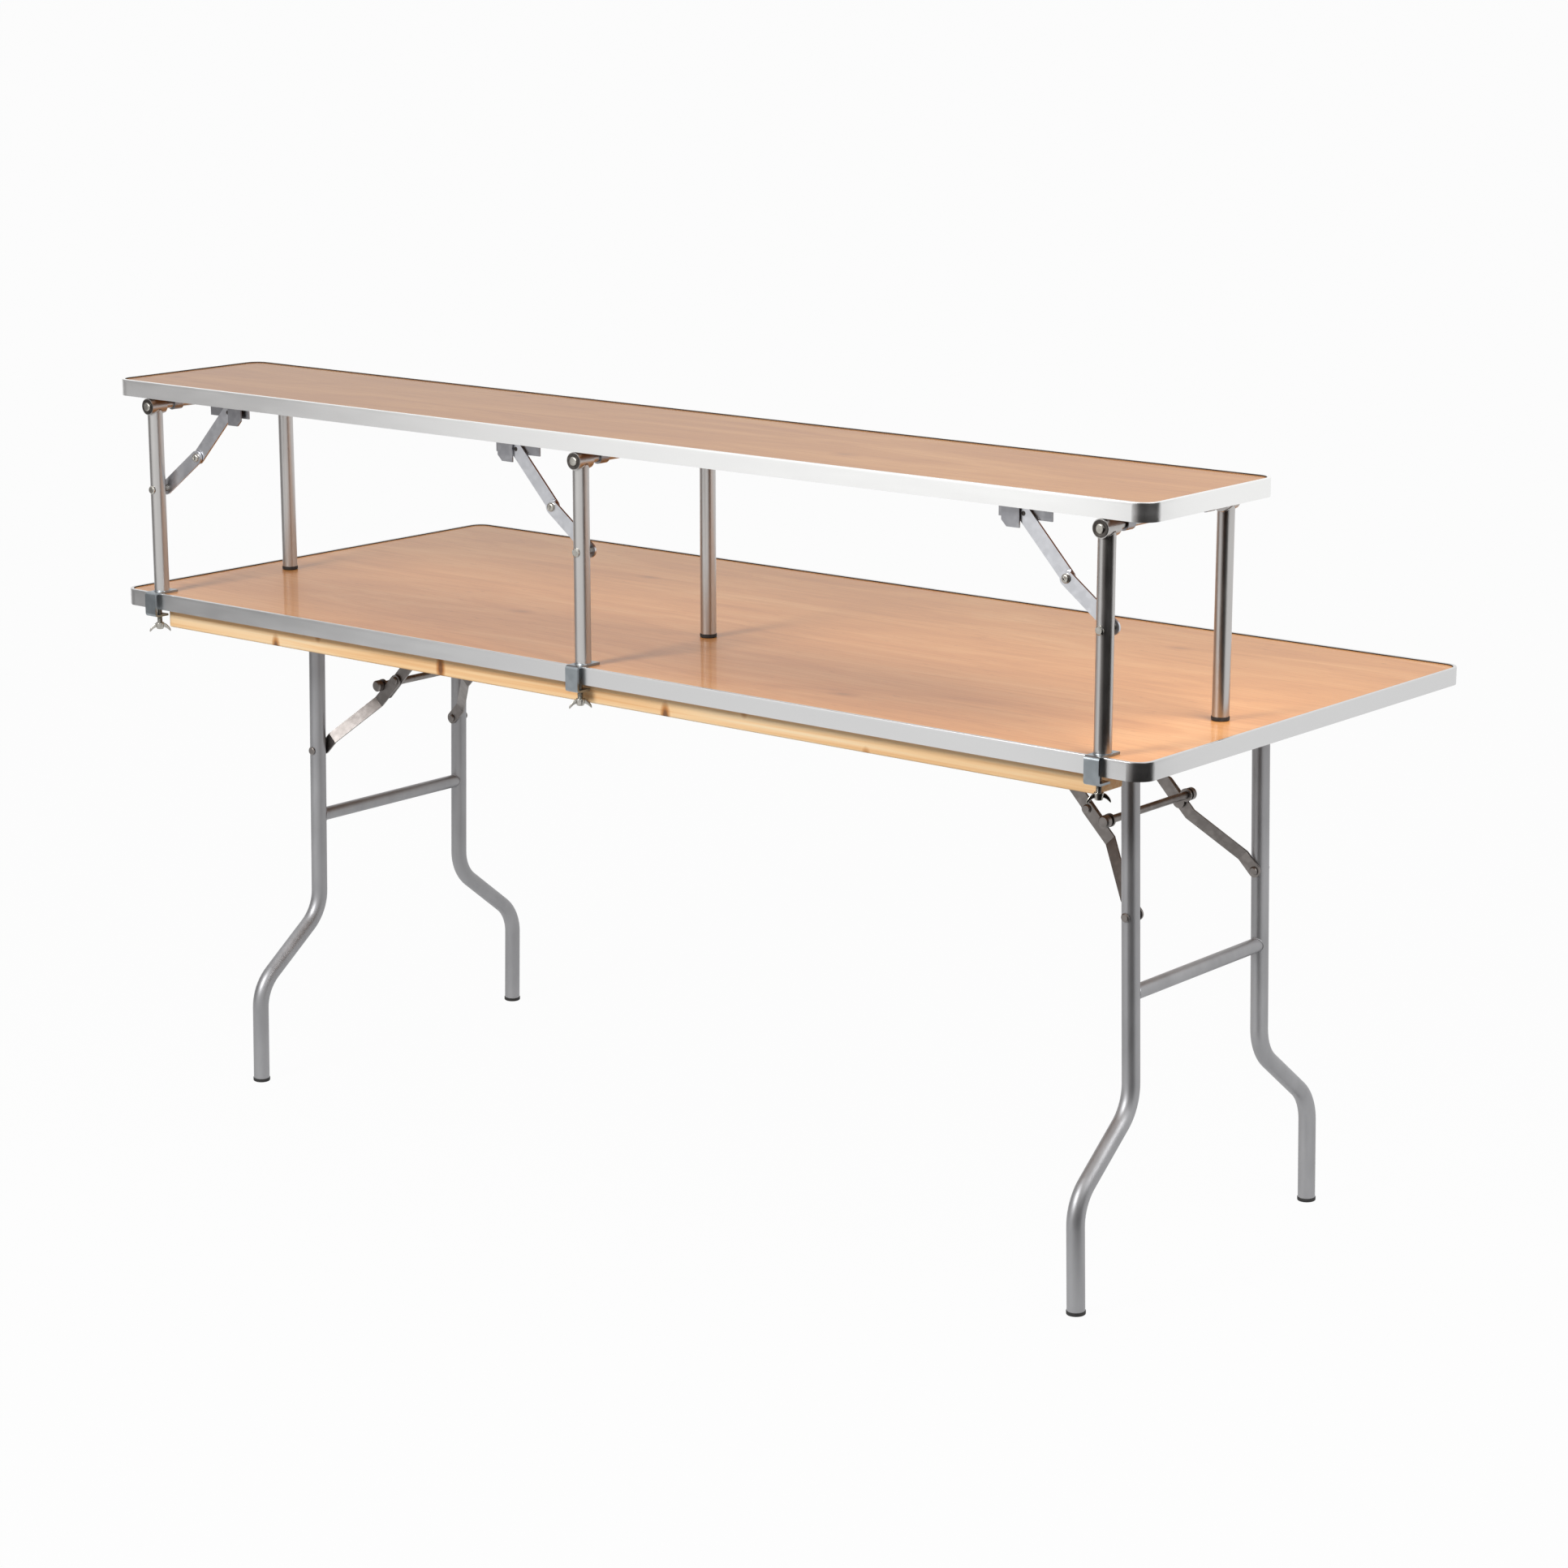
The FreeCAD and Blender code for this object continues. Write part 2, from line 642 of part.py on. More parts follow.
# folding table legs and their braces, the same on both sides
for name, side in SIDES:
    lean = "leg_lean" if side else "-leg_lean"
    place = {"x": side + "leg_x", "z": "pivot_z", "axis": (0, 1, 0), "turn": lean}

    for label, end in (("front", "-"), ("rear", "")):
        leg = new_body("%s_%s_leg" % (name, label), **place)
        start = end + "leg_y"
        path = new_sketch(leg, "YZ_Plane")
        turn_one, turn_two = ("left", "right") if end == "" else ("right", "left")
        draw(path, [
            (start, "0"),
            (start, "-bend_start"),
            ("%s(leg_y + bend_shift)" % end, "-bend_start - bend_fall",
             "%s(leg_y + bend_radius)" % end, "-bend_start", turn_one),
            ("%s(foot_y - bend_shift)" % end, "-bend_start - bend_fall - slant_fall"),
            (end + "foot_y", "-bend_start - 2 * bend_fall - slant_fall",
             "%s(foot_y - bend_radius)" % end, "-bend_start - 2 * bend_fall - slant_fall", turn_two),
            (end + "foot_y", "-leg_drop"),
        ], closed=False)
        tube = new_sketch(leg, "XY_Plane")
        ring(tube, "leg_tube", "0", start)
        ring(tube, "leg_tube - 2 * leg_wall", "0", start)
        pipe = leg.newObject("PartDesign::AdditivePipe", "Pipe")
        pipe.Profile = tube
        pipe.Spine = path
        bore(leg, "XZ_Plane", "pivot_tube + 2 * weld_gap", ("0", "0"))
        bore(leg, "XZ_Plane", "rivet_dia + 2 * pin_gap", ("0", "-brace_drop"))
        nodes.append(leg)

    tube = new_body(name + "_leg_pivot_tube", **place)
    section = new_sketch(tube, "XZ_Plane")
    ring(section, "pivot_tube")
    ring(section, "pivot_tube - 2 * pivot_wall")
    add(tube, section, "2 * (hat_out + side_gap)", both=True)
    nodes.append(tube)

    crossbar = new_body(name + "_leg_crossbar", **place)
    section = new_sketch(crossbar, "XZ_Plane")
    ring(section, "crossbar_tube", "0", "-crossbar_drop")
    ring(section, "crossbar_tube - 2 * crossbar_wall", "0", "-crossbar_drop")
    add(crossbar, section, "2 * leg_y", both=True)
    bore(crossbar, "XY_Plane", "leg_tube + 2 * weld_gap", ("0", "-leg_y"), ("0", "leg_y"))
    nodes.append(crossbar)

    glides = new_body(name + "_foot_glides", **place)
    soles = new_sketch(glides, "XY_Plane", "-sole_drop")
    plugs = new_sketch(glides, "XY_Plane", "-sole_drop")
    for end in ("-", ""):
        ring(soles, "glide_dia", "0", end + "foot_y")
        ring(plugs, "leg_tube - 2 * leg_wall - 2 * fit_gap", "0", end + "foot_y")
    add(glides, soles, "glide_floor")
    add(glides, plugs, "glide_floor + glide_plug")
    soften(glides, "glide_round", level_at("-sole_drop"))
    nodes.append(glides)

    # straight upper links with a lug for the lock bar, one behind the other
    inner = "-" if side else ""
    upper_turn = "180 deg - upper_turn" if side else "upper_turn"
    upper = new_body(name + "_upper_links", x=side + "anchor_x", z="pivot_z", axis=(0, 1, 0), turn=upper_turn)
    strap = new_sketch(upper, "XZ_Plane")
    slot(strap, "upper_link + bar_reach", "strap_width")
    add(upper, strap, "2 * upper_out", both=True)
    lug = new_sketch(upper, "XZ_Plane")
    ring(lug, "lug_dia", "upper_link + bar_reach", inner + "bar_offset")
    add(upper, lug, "2 * upper_out", both=True)
    open_middle(upper, "upper_in")
    bore(upper, "XZ_Plane", "rivet_dia + 2 * pin_gap", ("0", "0"))
    bore(upper, "XZ_Plane", "bar_dia + 2 * fit_gap", ("upper_link + bar_reach", inner + "bar_offset"))
    nodes.append(upper)

    bar_x = "%s(anchor_x + (upper_link + bar_reach) * cos(upper_turn) + bar_offset * sin(upper_turn))" % side
    bar_z = "pivot_z - (upper_link + bar_reach) * sin(upper_turn) + bar_offset * cos(upper_turn)"
    bar = new_body(name + "_lock_bar", x=bar_x, z=bar_z)
    turn_about_y(bar, [[
        ("0", "-bar_end - knob_length"),
        ("knob_dia / 2 - knob_round", "-bar_end - knob_length"),
        ("knob_dia / 2", "-bar_end - knob_length + knob_round"),
        ("knob_dia / 2", "-bar_end"),
        ("bar_dia / 2", "-bar_end"),
        ("bar_dia / 2", "bar_end"),
        ("knob_dia / 2", "bar_end"),
        ("knob_dia / 2", "bar_end + knob_length - knob_round"),
        ("knob_dia / 2 - knob_round", "bar_end + knob_length"),
        ("0", "bar_end + knob_length"),
    ]])
    nodes.append(bar)

    # joggled lower links, from the legs in to the elbows
    lower_turn = "-lower_turn" if side else "-180 deg + lower_turn"
    knuckle_x = "%s(leg_x + lean_out)" % side
    lower = new_body(name + "_lower_links", x=knuckle_x, z="pivot_z - lean_fall", axis=(0, 1, 0),
                     turn=lower_turn)
    profile = new_sketch(lower, "XY_Plane")
    for end in ("-", ""):
        draw(profile, [(x, "%s(%s)" % (end, y)) for x, y in (
            ("-strap_width / 2", "foot_link_in"),
            ("joggle_from_leg", "foot_link_in"),
            ("lower_link - joggle_from_elbow", "lower_in"),
            ("lower_link + strap_width / 2", "lower_in"),
            ("lower_link + strap_width / 2", "lower_out"),
            ("lower_link - joggle_from_elbow", "lower_out"),
            ("joggle_from_leg", "foot_link_out"),
            ("-strap_width / 2", "foot_link_out"),
        )])
    add(lower, profile, "strap_width", both=True)
    ends = new_sketch(lower, "XZ_Plane")
    box(ends, "-table_length", "table_length", "-table_length", "table_length")
    slot(ends, "lower_link", "strap_width")
    cut(lower, ends)
    bore(lower, "XZ_Plane", "rivet_dia + 2 * pin_gap", ("0", "0"), ("lower_link", "0"))
    nodes.append(lower)

    leg_rivets = new_body(name + "_leg_rivets", x=knuckle_x, z="pivot_z - lean_fall")
    turn_about_y(leg_rivets, [rivet_section(end, "foot_link_in - pin_gap", "leg_y + leg_tube / 2 + pin_gap")
                              for end in ("-", "")])
    elbow_rivets = new_body(name + "_elbow_rivets", x="%s(leg_x - elbow_x)" % side, z="pivot_z + elbow_z")
    turn_about_y(elbow_rivets, [rivet_section(end, "lower_in", "lower_out + pin_gap", near_head=False)
                                for end in ("-", "")])
    group(name + "_brace_rivets", [leg_rivets, elbow_rivets])

# riser shelf: a narrow panel in the same edge trim
saddle_spots = [
    ("%s %s saddle_screw_spacing / 2" % (x, hand), "%s(saddle_half)" % end)
    for name, x, flip in RISERS for hand in "+-" for end in ("-", "")
]
plate_spots = [
    ("%s - %s(-riser_brace_reach) %s plate_screw_spacing / 2" % (x, flip, hand),
     "upper_y - rod_y + flange_far + plate_back / 2")
    for name, x, flip in RISERS for hand in "+-"
]
shelf_trim_inner = "table_length - 2 * trim_face", "shelf_depth - 2 * trim_face", "corner_radius - trim_face"
shelf_trim_open = "table_length - 2 * trim_lip", "shelf_depth - 2 * trim_lip", "corner_radius - trim_lip"
shelf_plan = ["%s - %sfit_gap" % (text, twice) for text, twice in zip(shelf_trim_inner, ("2 * ", "2 * ", ""))]

shelf = new_body("riser_shelf_panel", y="shelf_y", z="shelf_under")
plan = new_sketch(shelf, "XY_Plane")
round_box(plan, *shelf_plan)
add(shelf, plan, "shelf_thick")
pilots = new_sketch(shelf, "XY_Plane")
for x, y in saddle_spots + plate_spots:
    ring(pilots, "screw_dia + 2 * screw_gap", x, y + " + rod_y - shelf_y")
cut(shelf, pilots, "2 * screw_grip")
nodes.append(shelf)

edge_trim("riser_edge_trim", ("shelf_y", "shelf_top - trim_height"),
          ("table_length", "shelf_depth", "corner_radius"), shelf_trim_inner, shelf_trim_open,
          "trim_height - shelf_thick - fit_gap", "trim_height")

saddles = new_body("riser_pivot_saddles", y="rod_y", z="rod_z")
section = new_sketch(saddles, "XZ_Plane")
for name, x, flip in RISERS:
    hat(section, x, "saddle_rise", "saddle_bore", "saddle_strap", "saddle_flange")
add(saddles, section, "2 * saddle_half + saddle_width", both=True)
open_middle(saddles, "saddle_half - saddle_width / 2")
bore(saddles, "XY_Plane", "screw_dia + 2 * screw_gap", *saddle_spots)
nodes.append(saddles)

brackets = new_body("riser_brace_brackets", y="upper_y", z="rod_z")
flanges = new_sketch(brackets, "XZ_Plane", "-flange_near")
tabs = new_sketch(brackets, "XZ_Plane", "flange_near")
plates = new_sketch(brackets, "XY_Plane", "saddle_rise")
for name, x, flip in RISERS:
    middle = "%s - %s(-riser_brace_reach)" % (x, flip)
    low, high = "%s - plate_length / 2" % middle, "%s + plate_length / 2" % middle
    away = "-" if flip else "+"
    near, far = ("%s %s %s" % (middle, away, text) for text in ("tab_near", "(tab_near + tab_width)"))
    box(flanges, low, high, "-flange_below", "saddle_rise")
    draw(tabs, [
        (near, "saddle_rise"),
        (near, "-tab_below"),
        ("%s %s (tab_near + tab_width - tab_chamfer)" % (middle, away), "-tab_below"),
        (far, "-tab_below + tab_chamfer"),
        (far, "saddle_rise"),
    ])
    box(plates, low, high, "-flange_far", "flange_far + plate_back")
add(brackets, flanges, "plate_thick", back=True)
add(brackets, tabs, "plate_thick")
add(brackets, plates, "plate_thick", back=True)
bore(brackets, "XZ_Plane", "rivet_dia + 2 * pin_gap",
     *[("%s - %s(-riser_brace_reach)" % (x, flip), "0") for name, x, flip in RISERS])
plate_holes = new_sketch(brackets, "XY_Plane", "saddle_rise")
for x, y in plate_spots:
    ring(plate_holes, "screw_dia + 2 * screw_gap", x, "flange_far + plate_back / 2")
cut(brackets, plate_holes, "2 * (plate_thick + overrun)")
nodes.append(brackets)

pins = []
for name, x, flip in RISERS:
    pin = new_body("bracket_pin_" + name, x="%s - %s(-riser_brace_reach)" % (x, flip), y="upper_y", z="rod_z")
    turn_about_y(pin, [rivet_section("", "-link_thick / 2", "flange_far + pin_gap", near_head=False)])
    pins.append(pin)
group("riser_bracket_pins", pins)

wood_screws("riser_screws", [
    ("shelf_under - saddle_strap - fit_gap", [(x, y + " + rod_y") for x, y in saddle_spots]),
    ("shelf_under - plate_thick - fit_gap", [(x, y + " + rod_y") for x, y in plate_spots]),
])

# three folding riser leg sets, each with a clamp in front and a rubber tip behind
for name, x, flip in RISERS:
    label = "riser_%s_" % name

    for end in ("front", "rear"):
        leg = new_body(label + end + "_leg", x=x, y="riser_%s_y" % end, z="rod_z")
        tube = new_sketch(leg, "XY_Plane")
        ring(tube, "riser_tube")
        ring(tube, "riser_tube - 2 * riser_wall")
        add(leg, tube, "%s_leg_drop" % end, back=True)
        sleeve = new_sketch(leg, "XZ_Plane")
        ring(sleeve, "sleeve_dia")
        add(leg, sleeve, "sleeve_length", both=True)
        bore(leg, "XZ_Plane", "rod_dia + 2 * weld_gap", ("0", "0"))
        if end == "front":
            bore(leg, "XZ_Plane", "rivet_dia + 2 * pin_gap", ("0", "-riser_brace_drop"))
        nodes.append(leg)

    rod = new_body(label + "pivot_rod", x=x, y="rod_y", z="rod_z")
    section = new_sketch(rod, "XZ_Plane")
    ring(section, "rod_dia")
    add(rod, section, "riser_rear_y - riser_front_y + sleeve_length", both=True)
    nodes.append(rod)

    clamp = new_body(label + "clamp", x=x, y="front_edge", z="table_height")
    hook = new_sketch(clamp, "YZ_Plane")
    draw(hook, [
        ("-clamp_front", "clamp_foot"),
        ("-clamp_front", "-clamp_jaw - clamp_strap"),
        ("clamp_bottom_reach", "-clamp_jaw - clamp_strap"),
        ("clamp_bottom_reach", "-clamp_jaw"),
        ("-clamp_stand_off", "-clamp_jaw"),
        ("-clamp_stand_off", "seat_gap"),
        ("clamp_top_reach", "seat_gap"),
        ("clamp_top_reach", "clamp_foot"),
    ])
    add(clamp, hook, "clamp_width", both=True)
    front, inside = size("-clamp_front"), size("-clamp_stand_off")
    near = size("fit_gap")
    soften(clamp, "clamp_bend", along("x", lambda spot: abs(spot.y - front) < near))
    soften(clamp, "clamp_bend - clamp_strap", along("x", lambda spot: abs(spot.y - inside) < near))
    hole = new_sketch(clamp, "XY_Plane", "-clamp_jaw")
    ring(hole, "wing_shank + 2 * pin_gap", "0", "wing_set_back")
    cut(clamp, hole, "2 * (clamp_strap + overrun)")
    nodes.append(clamp)

    tip = new_body(label + "rear_tip", x=x, y="riser_rear_y", z="table_height + seat_gap")
    sole = new_sketch(tip, "XY_Plane")
    ring(sole, "tip_dia")
    add(tip, sole, "tip_floor")
    plug = new_sketch(tip, "XY_Plane")
    ring(plug, "riser_tube - 2 * riser_wall - 2 * fit_gap")
    add(tip, plug, "tip_floor + tip_plug")
    soften(tip, "tip_round", level_at("0"))
    nodes.append(tip)

    # flat upper link, behind the tab of the shelf bracket
    upper_turn = "180 deg - riser_upper_turn" if flip == "" else "riser_upper_turn"
    upper = new_body(label + "upper_link", x="%s - %s(-riser_brace_reach)" % (x, flip), y="upper_y", z="rod_z",
                     axis=(0, 1, 0), turn=upper_turn)
    strap = new_sketch(upper, "XZ_Plane")
    slot(strap, "riser_upper", "link_width")
    ring(strap, "rivet_dia + 2 * pin_gap", "0", "0")
    add(upper, strap, "link_thick", both=True)
    nodes.append(upper)

    lower_turn = "-riser_lower_turn" if flip == "" else "-180 deg + riser_lower_turn"
    lower = new_body(label + "lower_link", x=x, y="riser_front_y + (link_in + link_out) / 2",
                     z="rod_z - riser_brace_drop", axis=(0, 1, 0), turn=lower_turn)
    strap = new_sketch(lower, "XZ_Plane")
    slot(strap, "riser_lower", "link_width")
    ring(strap, "rivet_dia + 2 * pin_gap", "0", "0")
    ring(strap, "rivet_dia + 2 * pin_gap", "riser_lower", "0")
    add(lower, strap, "link_thick", both=True)
    nodes.append(lower)

    leg_rivet = new_body(label + "leg_rivet", x=x, y="riser_front_y", z="rod_z - riser_brace_drop")
    turn_about_y(leg_rivet, [[
        ("0", "-riser_tube / 2 - rivet_dome"),
        ("(rivet_head + rivet_dia) / 4", "-riser_tube / 2 - rivet_dome"),
        ("rivet_head / 2", "-riser_tube / 2 - rivet_dome / 2"),
        ("rivet_head / 2", "-riser_tube / 2 - pin_gap"),
        ("rivet_dia / 2", "-riser_tube / 2 - pin_gap"),
        ("rivet_dia / 2", "riser_tube / 2 + pin_gap"),
        ("collar_dia / 2", "riser_tube / 2 + pin_gap"),
        ("collar_dia / 2", "link_in - pin_gap"),
        ("rivet_dia / 2", "link_in - pin_gap"),
        ("rivet_dia / 2", "link_out"),
        ("0", "link_out"),
    ]])
    knee_rivet = new_body(label + "knee_rivet", x="%s - %s(-knee_x)" % (x, flip), y="riser_front_y",
                          z="rod_z + knee_z")
    turn_about_y(knee_rivet, [rivet_section("", "link_in - pin_gap", "link_out", far_head=False)])
    group(label + "brace_rivets", [leg_rivet, knee_rivet])

    wing = new_body(label + "wing_screw", x=x, y="wing_y", z="wing_z", turn="wing_turn")
    shank = new_sketch(wing, "XY_Plane")
    ring(shank, "wing_shank")
    add(wing, shank, "wing_shank_length")
    hub = new_sketch(wing, "XY_Plane")
    ring(hub, "wing_hub")
    add(wing, hub, "wing_hub_height", back=True)
    ears = new_sketch(wing, "XZ_Plane")
    for hand in ("-", ""):
        draw(ears, [(hand + x_text, z_text) for x_text, z_text in (
            ("wing_hub / 4", "0"),
            ("wing_hub / 2", "0"),
            ("wing_reach", "-wing_drop + wing_chord"),
            ("wing_reach", "-wing_drop"),
            ("(wing_reach - wing_chord)", "-wing_drop"),
            ("wing_hub / 4", "-wing_hub_height"),
        )])
    add(wing, ears, "wing_thick", both=True)
    nodes.append(wing)

doc.recompute()

os.makedirs("parts", exist_ok=True)
for thing in doc.Objects:
    if "Invalid" in thing.State or "Error" in thing.State:
        raise RuntimeError("%s (%s) did not build: %s" % (thing.Label, thing.Name, thing.State))
for node in nodes:
    if node.Shape.isNull() or not node.Shape.isValid():
        raise RuntimeError("%s has no valid shape" % node.Label)
for node in nodes:
    node.Shape.exportStep("parts/%s.step" % node.Label)
print("%d nodes" % len(nodes))
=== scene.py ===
import math

import bmesh
import bpy
from mathutils import Matrix, Vector


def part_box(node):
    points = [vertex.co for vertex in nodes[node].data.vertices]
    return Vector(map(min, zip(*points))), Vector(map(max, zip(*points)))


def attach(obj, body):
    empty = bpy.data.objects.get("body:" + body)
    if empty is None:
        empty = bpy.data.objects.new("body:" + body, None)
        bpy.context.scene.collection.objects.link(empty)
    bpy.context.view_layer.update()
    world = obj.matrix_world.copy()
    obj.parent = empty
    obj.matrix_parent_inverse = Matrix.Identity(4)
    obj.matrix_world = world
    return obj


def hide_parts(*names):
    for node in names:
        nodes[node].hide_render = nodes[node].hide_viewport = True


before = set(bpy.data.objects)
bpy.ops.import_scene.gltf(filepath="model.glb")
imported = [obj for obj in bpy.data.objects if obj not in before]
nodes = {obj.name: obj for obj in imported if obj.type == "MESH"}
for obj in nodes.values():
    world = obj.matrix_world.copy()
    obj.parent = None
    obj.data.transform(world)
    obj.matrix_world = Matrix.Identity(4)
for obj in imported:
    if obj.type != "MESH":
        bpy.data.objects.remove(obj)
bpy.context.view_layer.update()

# A portable bar: a plywood folding table in an aluminium edge, grey tube legs, and a narrow
# bar shelf on plated tube legs that clamp to the table's front edge. Metres, Z up, front is -Y.

MM = 0.001
scene = bpy.context.scene


def colour(code):
    """An sRGB hex colour as linear red, green, blue and alpha."""
    parts = [int(code[place:place + 2], 16) / 255 for place in (1, 3, 5)]
    return [part / 12.92 if part <= 0.04045 else ((part + 0.055) / 1.055) ** 2.4 for part in parts] + [1]


def per_mm(along, across, up):
    """The Mapping scale at which one unit of a pattern is this many millimetres each way."""
    return tuple(1 / (reach * MM) for reach in (along, across, up))


def node(tree, kind, sockets=None, stops=(), **settings):
    """Adds a node with its settings, its ramp stops, and its sockets set to values or linked."""
    made = tree.nodes.new(kind)
    for name, value in settings.items():
        setattr(made, name, value)
    for place, _ in stops[2:]:
        made.color_ramp.elements.new(place)
    for point, (place, code) in zip(made.color_ramp.elements if stops else (), stops):
        point.position = place
        point.color = colour(code)
    for socket, value in (sockets or {}).items():
        if isinstance(value, bpy.types.NodeSocket):
            tree.links.new(value, made.inputs[socket])
        else:
            made.inputs[socket].default_value = value
    return made


# The colour sockets of a Mix node, and the settings that lay one colour over another.
MIX_UNDER, MIX_OVER, MIX_RESULT = 6, 7, 2
MULTIPLY = {"data_type": "RGBA", "blend_type": "MULTIPLY"}


def finish(name, **sockets):
    """A new material with its Principled shader set, spaces in socket names written as _."""
    material = bpy.data.materials.new(name)
    material.use_nodes = True
    shader = material.node_tree.nodes["Principled BSDF"]
    for socket, value in sockets.items():
        shader.inputs[socket.replace("_", " ")].default_value = value
    return material, material.node_tree, shader


def birch_plywood(name, dark, middle, light):
    """Rotary-cut birch face under clear varnish: broad soft figure along the board, fine fibre
    streaks, short pores, a few pin knots, and a soft sheen at low angles."""
    material, tree, shader = finish(name, Roughness=0.46, IOR=1.5, Specular_IOR_Level=0.3,
                                    Coat_Weight=0.28, Coat_Roughness=0.04, Coat_IOR=1.5)
    place = node(tree, "ShaderNodeTexCoord").outputs["Object"]
    broad = node(tree, "ShaderNodeMapping", {"Vector": place, "Scale": per_mm(430, 95, 95)})
    figure = node(tree, "ShaderNodeTexNoise", {"Vector": broad.outputs[0], "Scale": 1.0, "Detail": 4,
                                               "Roughness": 0.55, "Distortion": 1.6})
    base = node(tree, "ShaderNodeValToRGB", {"Fac": figure.outputs["Fac"]},
                stops=((0.28, dark), (0.5, middle), (0.74, light)))
    fine = node(tree, "ShaderNodeMapping", {"Vector": place, "Scale": per_mm(240, 3.2, 3.2)})
    fibre = node(tree, "ShaderNodeTexNoise", {"Vector": fine.outputs[0], "Scale": 1.0, "Detail": 4})
    streak = node(tree, "ShaderNodeValToRGB", {"Fac": fibre.outputs["Fac"]},
                  stops=((0.3, "#dcc8b6"), (0.6, "#ffffff")))
    grained = node(tree, "ShaderNodeMix", {"Factor": 0.4, MIX_UNDER: base.outputs[0],
                                           MIX_OVER: streak.outputs[0]}, **MULTIPLY)
    short = node(tree, "ShaderNodeMapping", {"Vector": place, "Scale": per_mm(24, 2.4, 2.4)})
    pores = node(tree, "ShaderNodeTexNoise", {"Vector": short.outputs[0], "Scale": 1.0, "Detail": 2})
    flecks = node(tree, "ShaderNodeValToRGB", {"Fac": pores.outputs["Fac"]},
                  stops=((0.66, "#ffffff"), (0.8, "#b08a6a")))
    pored = node(tree, "ShaderNodeMix", {"Factor": 0.6, MIX_UNDER: grained.outputs[MIX_RESULT],
                                         MIX_OVER: flecks.outputs[0]}, **MULTIPLY)
    wide = node(tree, "ShaderNodeMapping", {"Vector": place, "Scale": per_mm(640, 390, 390)})
    knots = node(tree, "ShaderNodeTexVoronoi", {"Vector": wide.outputs[0], "Scale": 1.0,
                                                "Randomness": 1.0}, voronoi_dimensions="2D")
    eyes = node(tree, "ShaderNodeValToRGB", {"Fac": knots.outputs["Distance"]},
                stops=((0.006, "#5f3d26"), (0.018, "#c9ad95"), (0.045, "#ffffff")))
    tone = node(tree, "ShaderNodeMix", {"Factor": 0.3, MIX_UNDER: pored.outputs[MIX_RESULT],
                                        MIX_OVER: eyes.outputs[0]}, **MULTIPLY)
    tree.links.new(tone.outputs[MIX_RESULT], shader.inputs["Base Color"])
    ripple = node(tree, "ShaderNodeBump", {"Height": fibre.outputs["Fac"], "Strength": 0.06,
                                           "Distance": 0.4 * MM})
    tree.links.new(ripple.outputs["Normal"], shader.inputs["Normal"])
    return material


def planed_pine():
    """Planed pine with no varnish: pale yellow, darker growth lines along the length and brown
    knots that cross the face every few hundred millimetres."""
    material, tree, shader = finish("planed_pine", Roughness=0.6, IOR=1.5, Specular_IOR_Level=0.35)
    place = node(tree, "ShaderNodeTexCoord").outputs["Object"]
    long = node(tree, "ShaderNodeMapping", {"Vector": place, "Scale": per_mm(500, 7, 7)})
    lines = node(tree, "ShaderNodeTexNoise", {"Vector": long.outputs[0], "Scale": 1.0, "Detail": 4,
                                              "Distortion": 0.6})
    base = node(tree, "ShaderNodeValToRGB", {"Fac": lines.outputs["Fac"]},
                stops=((0.3, "#f0bc84"), (0.5, "#fdd5a2"), (0.7, "#ffe5be")))
    apart = node(tree, "ShaderNodeMapping", {"Vector": place, "Rotation": (math.radians(-90), 0, 0),
                                             "Scale": per_mm(100, 100, 230)})
    knots = node(tree, "ShaderNodeTexVoronoi", {"Vector": apart.outputs[0], "Scale": 1.0,
                                                "Randomness": 1.0}, voronoi_dimensions="2D")
    eyes = node(tree, "ShaderNodeValToRGB", {"Fac": knots.outputs["Distance"]},
                stops=((0.03, "#6b4526"), (0.055, "#c39a6c"), (0.1, "#ffffff")))
    tone = node(tree, "ShaderNodeMix", {"Factor": 0.9, MIX_UNDER: base.outputs[0],
                                        MIX_OVER: eyes.outputs[0]}, **MULTIPLY)
    tree.links.new(tone.outputs[MIX_RESULT], shader.inputs["Base Color"])
    ridge = node(tree, "ShaderNodeBump", {"Height": lines.outputs["Fac"], "Strength": 0.15,
                                          "Distance": 0.4 * MM})
    tree.links.new(ridge.outputs["Normal"], shader.inputs["Normal"])
    return material


def extruded_aluminium(name, tone):
    """Mill-finish edge moulding: pale and bright, with die lines that run level round the edge
    and cloudy rub marks that dull it a little."""
    material, tree, shader = finish(name, Metallic=1.0, Base_Color=colour(tone))
    place = node(tree, "ShaderNodeTexCoord").outputs["Object"]
    level = node(tree, "ShaderNodeMapping", {"Vector": place, "Scale": per_mm(500, 500, 2.2)})
    lines = node(tree, "ShaderNodeTexNoise", {"Vector": level.outputs[0], "Scale": 1.0, "Detail": 2})
    bump = node(tree, "ShaderNodeBump", {"Height": lines.outputs["Fac"], "Strength": 0.01,
                                         "Distance": 0.1 * MM})
    tree.links.new(bump.outputs["Normal"], shader.inputs["Normal"])
    cloudy = node(tree, "ShaderNodeMapping", {"Vector": place, "Scale": per_mm(70, 70, 12)})
    rubs = node(tree, "ShaderNodeTexNoise", {"Vector": cloudy.outputs[0], "Scale": 1.0, "Detail": 4})
    gloss = node(tree, "ShaderNodeMapRange", {"Value": rubs.outputs["Fac"],
                                              "From Min": 0.3, "From Max": 0.7,
                                              "To Min": 0.29, "To Max": 0.35})
    tree.links.new(gloss.outputs["Result"], shader.inputs["Roughness"])
    return material


